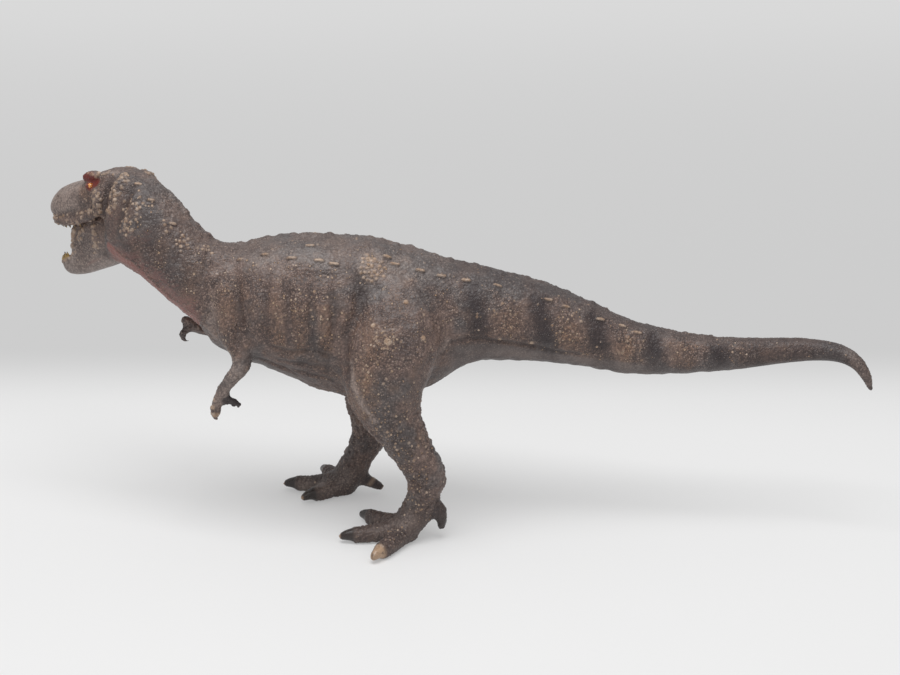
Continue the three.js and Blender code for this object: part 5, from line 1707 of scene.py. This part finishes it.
class DINOSAUR_OT_teeth(bpy.types.Operator):
    """Set curved teeth along the upper lip and the rim of the lower jaw"""

    bl_idname = "dinosaur.teeth"
    bl_label = "Teeth"

    def execute(self, context):
        tooth = tuple(context.scene.dinosaur_paint.tooth)
        enamel = grained_material("tooth_enamel", tooth, shade(tooth, 0.35), 900.0, 0.3, coat=0.2)
        turn = HEAD.to_3x3()
        down, back = turn @ Vector((-0.12, 0, -1)), turn @ Vector((-1, 0, 0))
        upper = bmesh.new()
        for side, lip in zip((1, -1), LIPS):
            for i in range(UPPER_TEETH):
                share = UPPER_ALONG[0] + UPPER_ALONG[1] * i / (UPPER_TEETH - 1)
                inset = turn @ Vector((0, side * TOOTH_INSET, 0))
                root = Vector(along_line(np.array(lip), share)) - inset
                full = math.sin(math.pi * (0.15 + 0.7 * share))
                horn(upper, root, down, back * 0.2 * full, 2.1 + 0.6 * full, 1.0 + 0.2 * full)
        finish_small("upper_teeth", upper, "figure", "head_skin", enamel)
        turn = JAW.to_3x3()
        raised, behind = turn @ Vector((-0.1, 0, 1)), turn @ Vector((-1, 0, 0))
        lower = bmesh.new()
        for side in (1, -1):
            for i in range(LOWER_TEETH):
                along = LOWER_ALONG[0] + LOWER_ALONG[1] * i / (LOWER_TEETH - 1)
                width = float(np.interp(along, RIM_ALONG, RIM_WIDTHS))
                root = jaw_point(along, side * (width - 2 * RIM_INSET / JAW_SIZE.y), GUM_HIGH)
                full = math.sin(math.pi * (0.2 + 0.75 * i / (LOWER_TEETH - 1)))
                horn(lower, root, raised, behind * 0.25, 1.5 + 0.7 * full, 1.15 + 0.25 * full)
        finish_small("lower_teeth", lower, "jaw", "jaw_skin", enamel)
        return {"FINISHED"}


# Half length, width and height of the tongue, and where its root lies in the jaw
TONGUE_SIZE = (8.7, 2.7, 1.25)
TONGUE_ALONG = 0.24
TONGUE_FORWARD = 8.5
TONGUE_HIGH = -0.42


class DINOSAUR_OT_tongue(bpy.types.Operator):
    """Lay the tongue on the floor of the lower jaw"""

    bl_idname = "dinosaur.tongue"
    bl_label = "Tongue"

    def execute(self, context):
        paint = context.scene.dinosaur_paint.flesh
        flesh = grained_material("tongue_flesh", shade(paint, 1.25), tuple(paint), 500.0, 0.35)
        bm = bmesh.new()
        bmesh.ops.create_uvsphere(bm, u_segments=28, v_segments=18, radius=1)
        for vertex in bm.verts:
            furrow = 0.25 * math.exp(-((vertex.co.y / 0.22) ** 2)) * max(0.0, vertex.co.z)
            vertex.co.z -= furrow
            vertex.co = vertex.co * Vector(TONGUE_SIZE)
        place = JAW @ Matrix.Translation((
            TONGUE_ALONG * JAW_SIZE.x + TONGUE_FORWARD, 0, TONGUE_HIGH * JAW_SIZE.z))
        bmesh.ops.transform(bm, matrix=place, verts=bm.verts)
        finish_small("tongue", bm, "jaw", "jaw_skin", flesh)
        return {"FINISHED"}


class DINOSAUR_OT_eyes(bpy.types.Operator):
    """Set the two glossy eyes below the brows"""

    bl_idname = "dinosaur.eyes"
    bl_label = "Eyes"

    def execute(self, context):
        iris = context.scene.dinosaur_paint.iris
        material, graph, shader = new_material("eye_gloss")
        gaze = graph.mask("gaze")
        ring = graph.mix(graph.between(gaze, 0.5, 0.8), tuple(iris), shade(iris, 0.3))
        speckled = graph.mix(
            graph.between(graph.noise(2500.0), 0.4, 0.7), ring, shade(iris, 1.3))
        pupil = graph.between(gaze, 0.3, 0.22)
        graph.wire(shader, {
            "Base Color": graph.mix(pupil, speckled, (0.004, 0.003, 0.003)),
            "Roughness": 0.08, "Coat Weight": 1.0, "Coat Roughness": 0.03})
        bm = bmesh.new()
        layer = bm.verts.layers.float.new("gaze")
        for side, centre in ((1, EYE_CENTRE), (-1, other_cheek(EYE_CENTRE))):
            outward = HEAD.to_3x3() @ Vector((0.2, side, 0.1))
            turn = outward.to_track_quat("Z", "Y").to_matrix().to_4x4()
            ball = bmesh.ops.create_uvsphere(
                bm, u_segments=32, v_segments=24, radius=EYE_RADIUS)["verts"]
            for vertex in ball:
                slit = Vector((vertex.co.x, vertex.co.y * 0.55, 0)).length
                vertex[layer] = slit / EYE_RADIUS if vertex.co.z > 0 else 1.0
            place = Matrix.Translation(Vector(centre)) @ turn
            bmesh.ops.transform(bm, matrix=place, verts=ball)
        finish_small("eyes", bm, "figure", "head_skin", material)
        return {"FINISHED"}


class DINOSAUR_OT_pin(bpy.types.Operator):
    """Give the jaw's cross pin its steel"""

    bl_idname = "dinosaur.pin"
    bl_label = "Hinge pin"

    def execute(self, context):
        steel = grained_material(
            "pin_steel", (0.62, 0.62, 0.61), (0.45, 0.45, 0.44), 1800.0, 0.25, metal=1.0)
        pin = frame["nodes"]["jaw_hinge_pin"]
        pin.data.materials.clear()
        pin.data.materials.append(steel)
        return {"FINISHED"}


# The stage, in metres: half the floor's side, and the lamp's size, place and aim
FLOOR_REACH = 4.0
LAMP_SIZE = (0.7, 0.5)
LAMP_PLACE = Vector((-0.08, -0.22, 0.87))
LAMP_AIM = Vector((0, 0, 0.06))


class DINOSAUR_OT_stage(bpy.types.Operator):
    """Set up the floor, light and camera"""

    bl_idname = "dinosaur.stage"
    bl_label = "Stage"

    def execute(self, context):
        scene, stage = context.scene, context.scene.dinosaur_stage
        bm = bmesh.new()
        bmesh.ops.create_grid(bm, x_segments=2, y_segments=2, size=FLOOR_REACH)
        floor = new_object("floor", bm)
        floor.data.materials.append(floor_material(stage))
        light = bpy.data.lights.new("key", "AREA")
        light.shape = "RECTANGLE"
        light.size, light.size_y = LAMP_SIZE
        light.energy = stage.key_light
        lamp = bpy.data.objects.new("key", light)
        lamp.location = LAMP_PLACE
        lamp.rotation_euler = (LAMP_AIM - lamp.location).to_track_quat("-Z", "Y").to_euler()
        scene.collection.objects.link(lamp)
        world = bpy.data.worlds.new("studio")
        world.use_nodes = True
        background = world.node_tree.nodes["Background"]
        background.inputs["Color"].default_value = (1.0, 1.0, 1.0, 1.0)
        background.inputs["Strength"].default_value = stage.world_light
        scene.world = world
        lens = bpy.data.cameras.new("camera")
        lens.lens = stage.lens
        lens.sensor_width = 36.0
        lens.clip_start = 0.01
        camera = bpy.data.objects.new("camera", lens)
        camera.location = (
            HOME.x + stage.camera_aside, HOME.y - stage.camera_distance, stage.camera_height)
        camera.rotation_euler = (math.pi / 2 - stage.camera_pitch, 0, 0)
        scene.collection.objects.link(camera)
        scene.camera = camera
        scene.view_settings.view_transform = "Standard"
        return {"FINISHED"}


STEPS = ("body", "head", "jaw", "teeth", "tongue", "eyes", "pin", "stage")


class DINOSAUR_PT_panel(bpy.types.Panel):
    """The steps that build the figure, and their settings"""

    bl_idname = "DINOSAUR_PT_panel"
    bl_label = "Toy dinosaur figure"
    bl_space_type = "VIEW_3D"
    bl_region_type = "UI"
    bl_category = "Dinosaur"

    def draw(self, context):
        layout = self.layout
        for group in (context.scene.dinosaur_skin, context.scene.dinosaur_paint,
                      context.scene.dinosaur_stage):
            box = layout.box()
            for key in group.bl_rna.properties.keys():
                if key not in ("rna_type", "name"):
                    box.prop(group, key)
        for step_name in STEPS:
            layout.operator(f"dinosaur.{step_name}")


CLASSES = (
    SkinSettings, PaintSettings, StageSettings,
    DINOSAUR_OT_body, DINOSAUR_OT_head, DINOSAUR_OT_jaw, DINOSAUR_OT_teeth, DINOSAUR_OT_tongue,
    DINOSAUR_OT_eyes, DINOSAUR_OT_pin, DINOSAUR_OT_stage, DINOSAUR_PT_panel,
)


def register():
    for cls in CLASSES:
        bpy.utils.register_class(cls)
    bpy.types.Scene.dinosaur_skin = PointerProperty(type=SkinSettings)
    bpy.types.Scene.dinosaur_paint = PointerProperty(type=PaintSettings)
    bpy.types.Scene.dinosaur_stage = PointerProperty(type=StageSettings)


def unregister():
    del bpy.types.Scene.dinosaur_stage
    del bpy.types.Scene.dinosaur_paint
    del bpy.types.Scene.dinosaur_skin
    for cls in reversed(CLASSES):
        bpy.utils.unregister_class(cls)


def main():
    register()
    for step_name in STEPS:
        getattr(bpy.ops.dinosaur, step_name)()


if __name__ == "__main__":
    main()
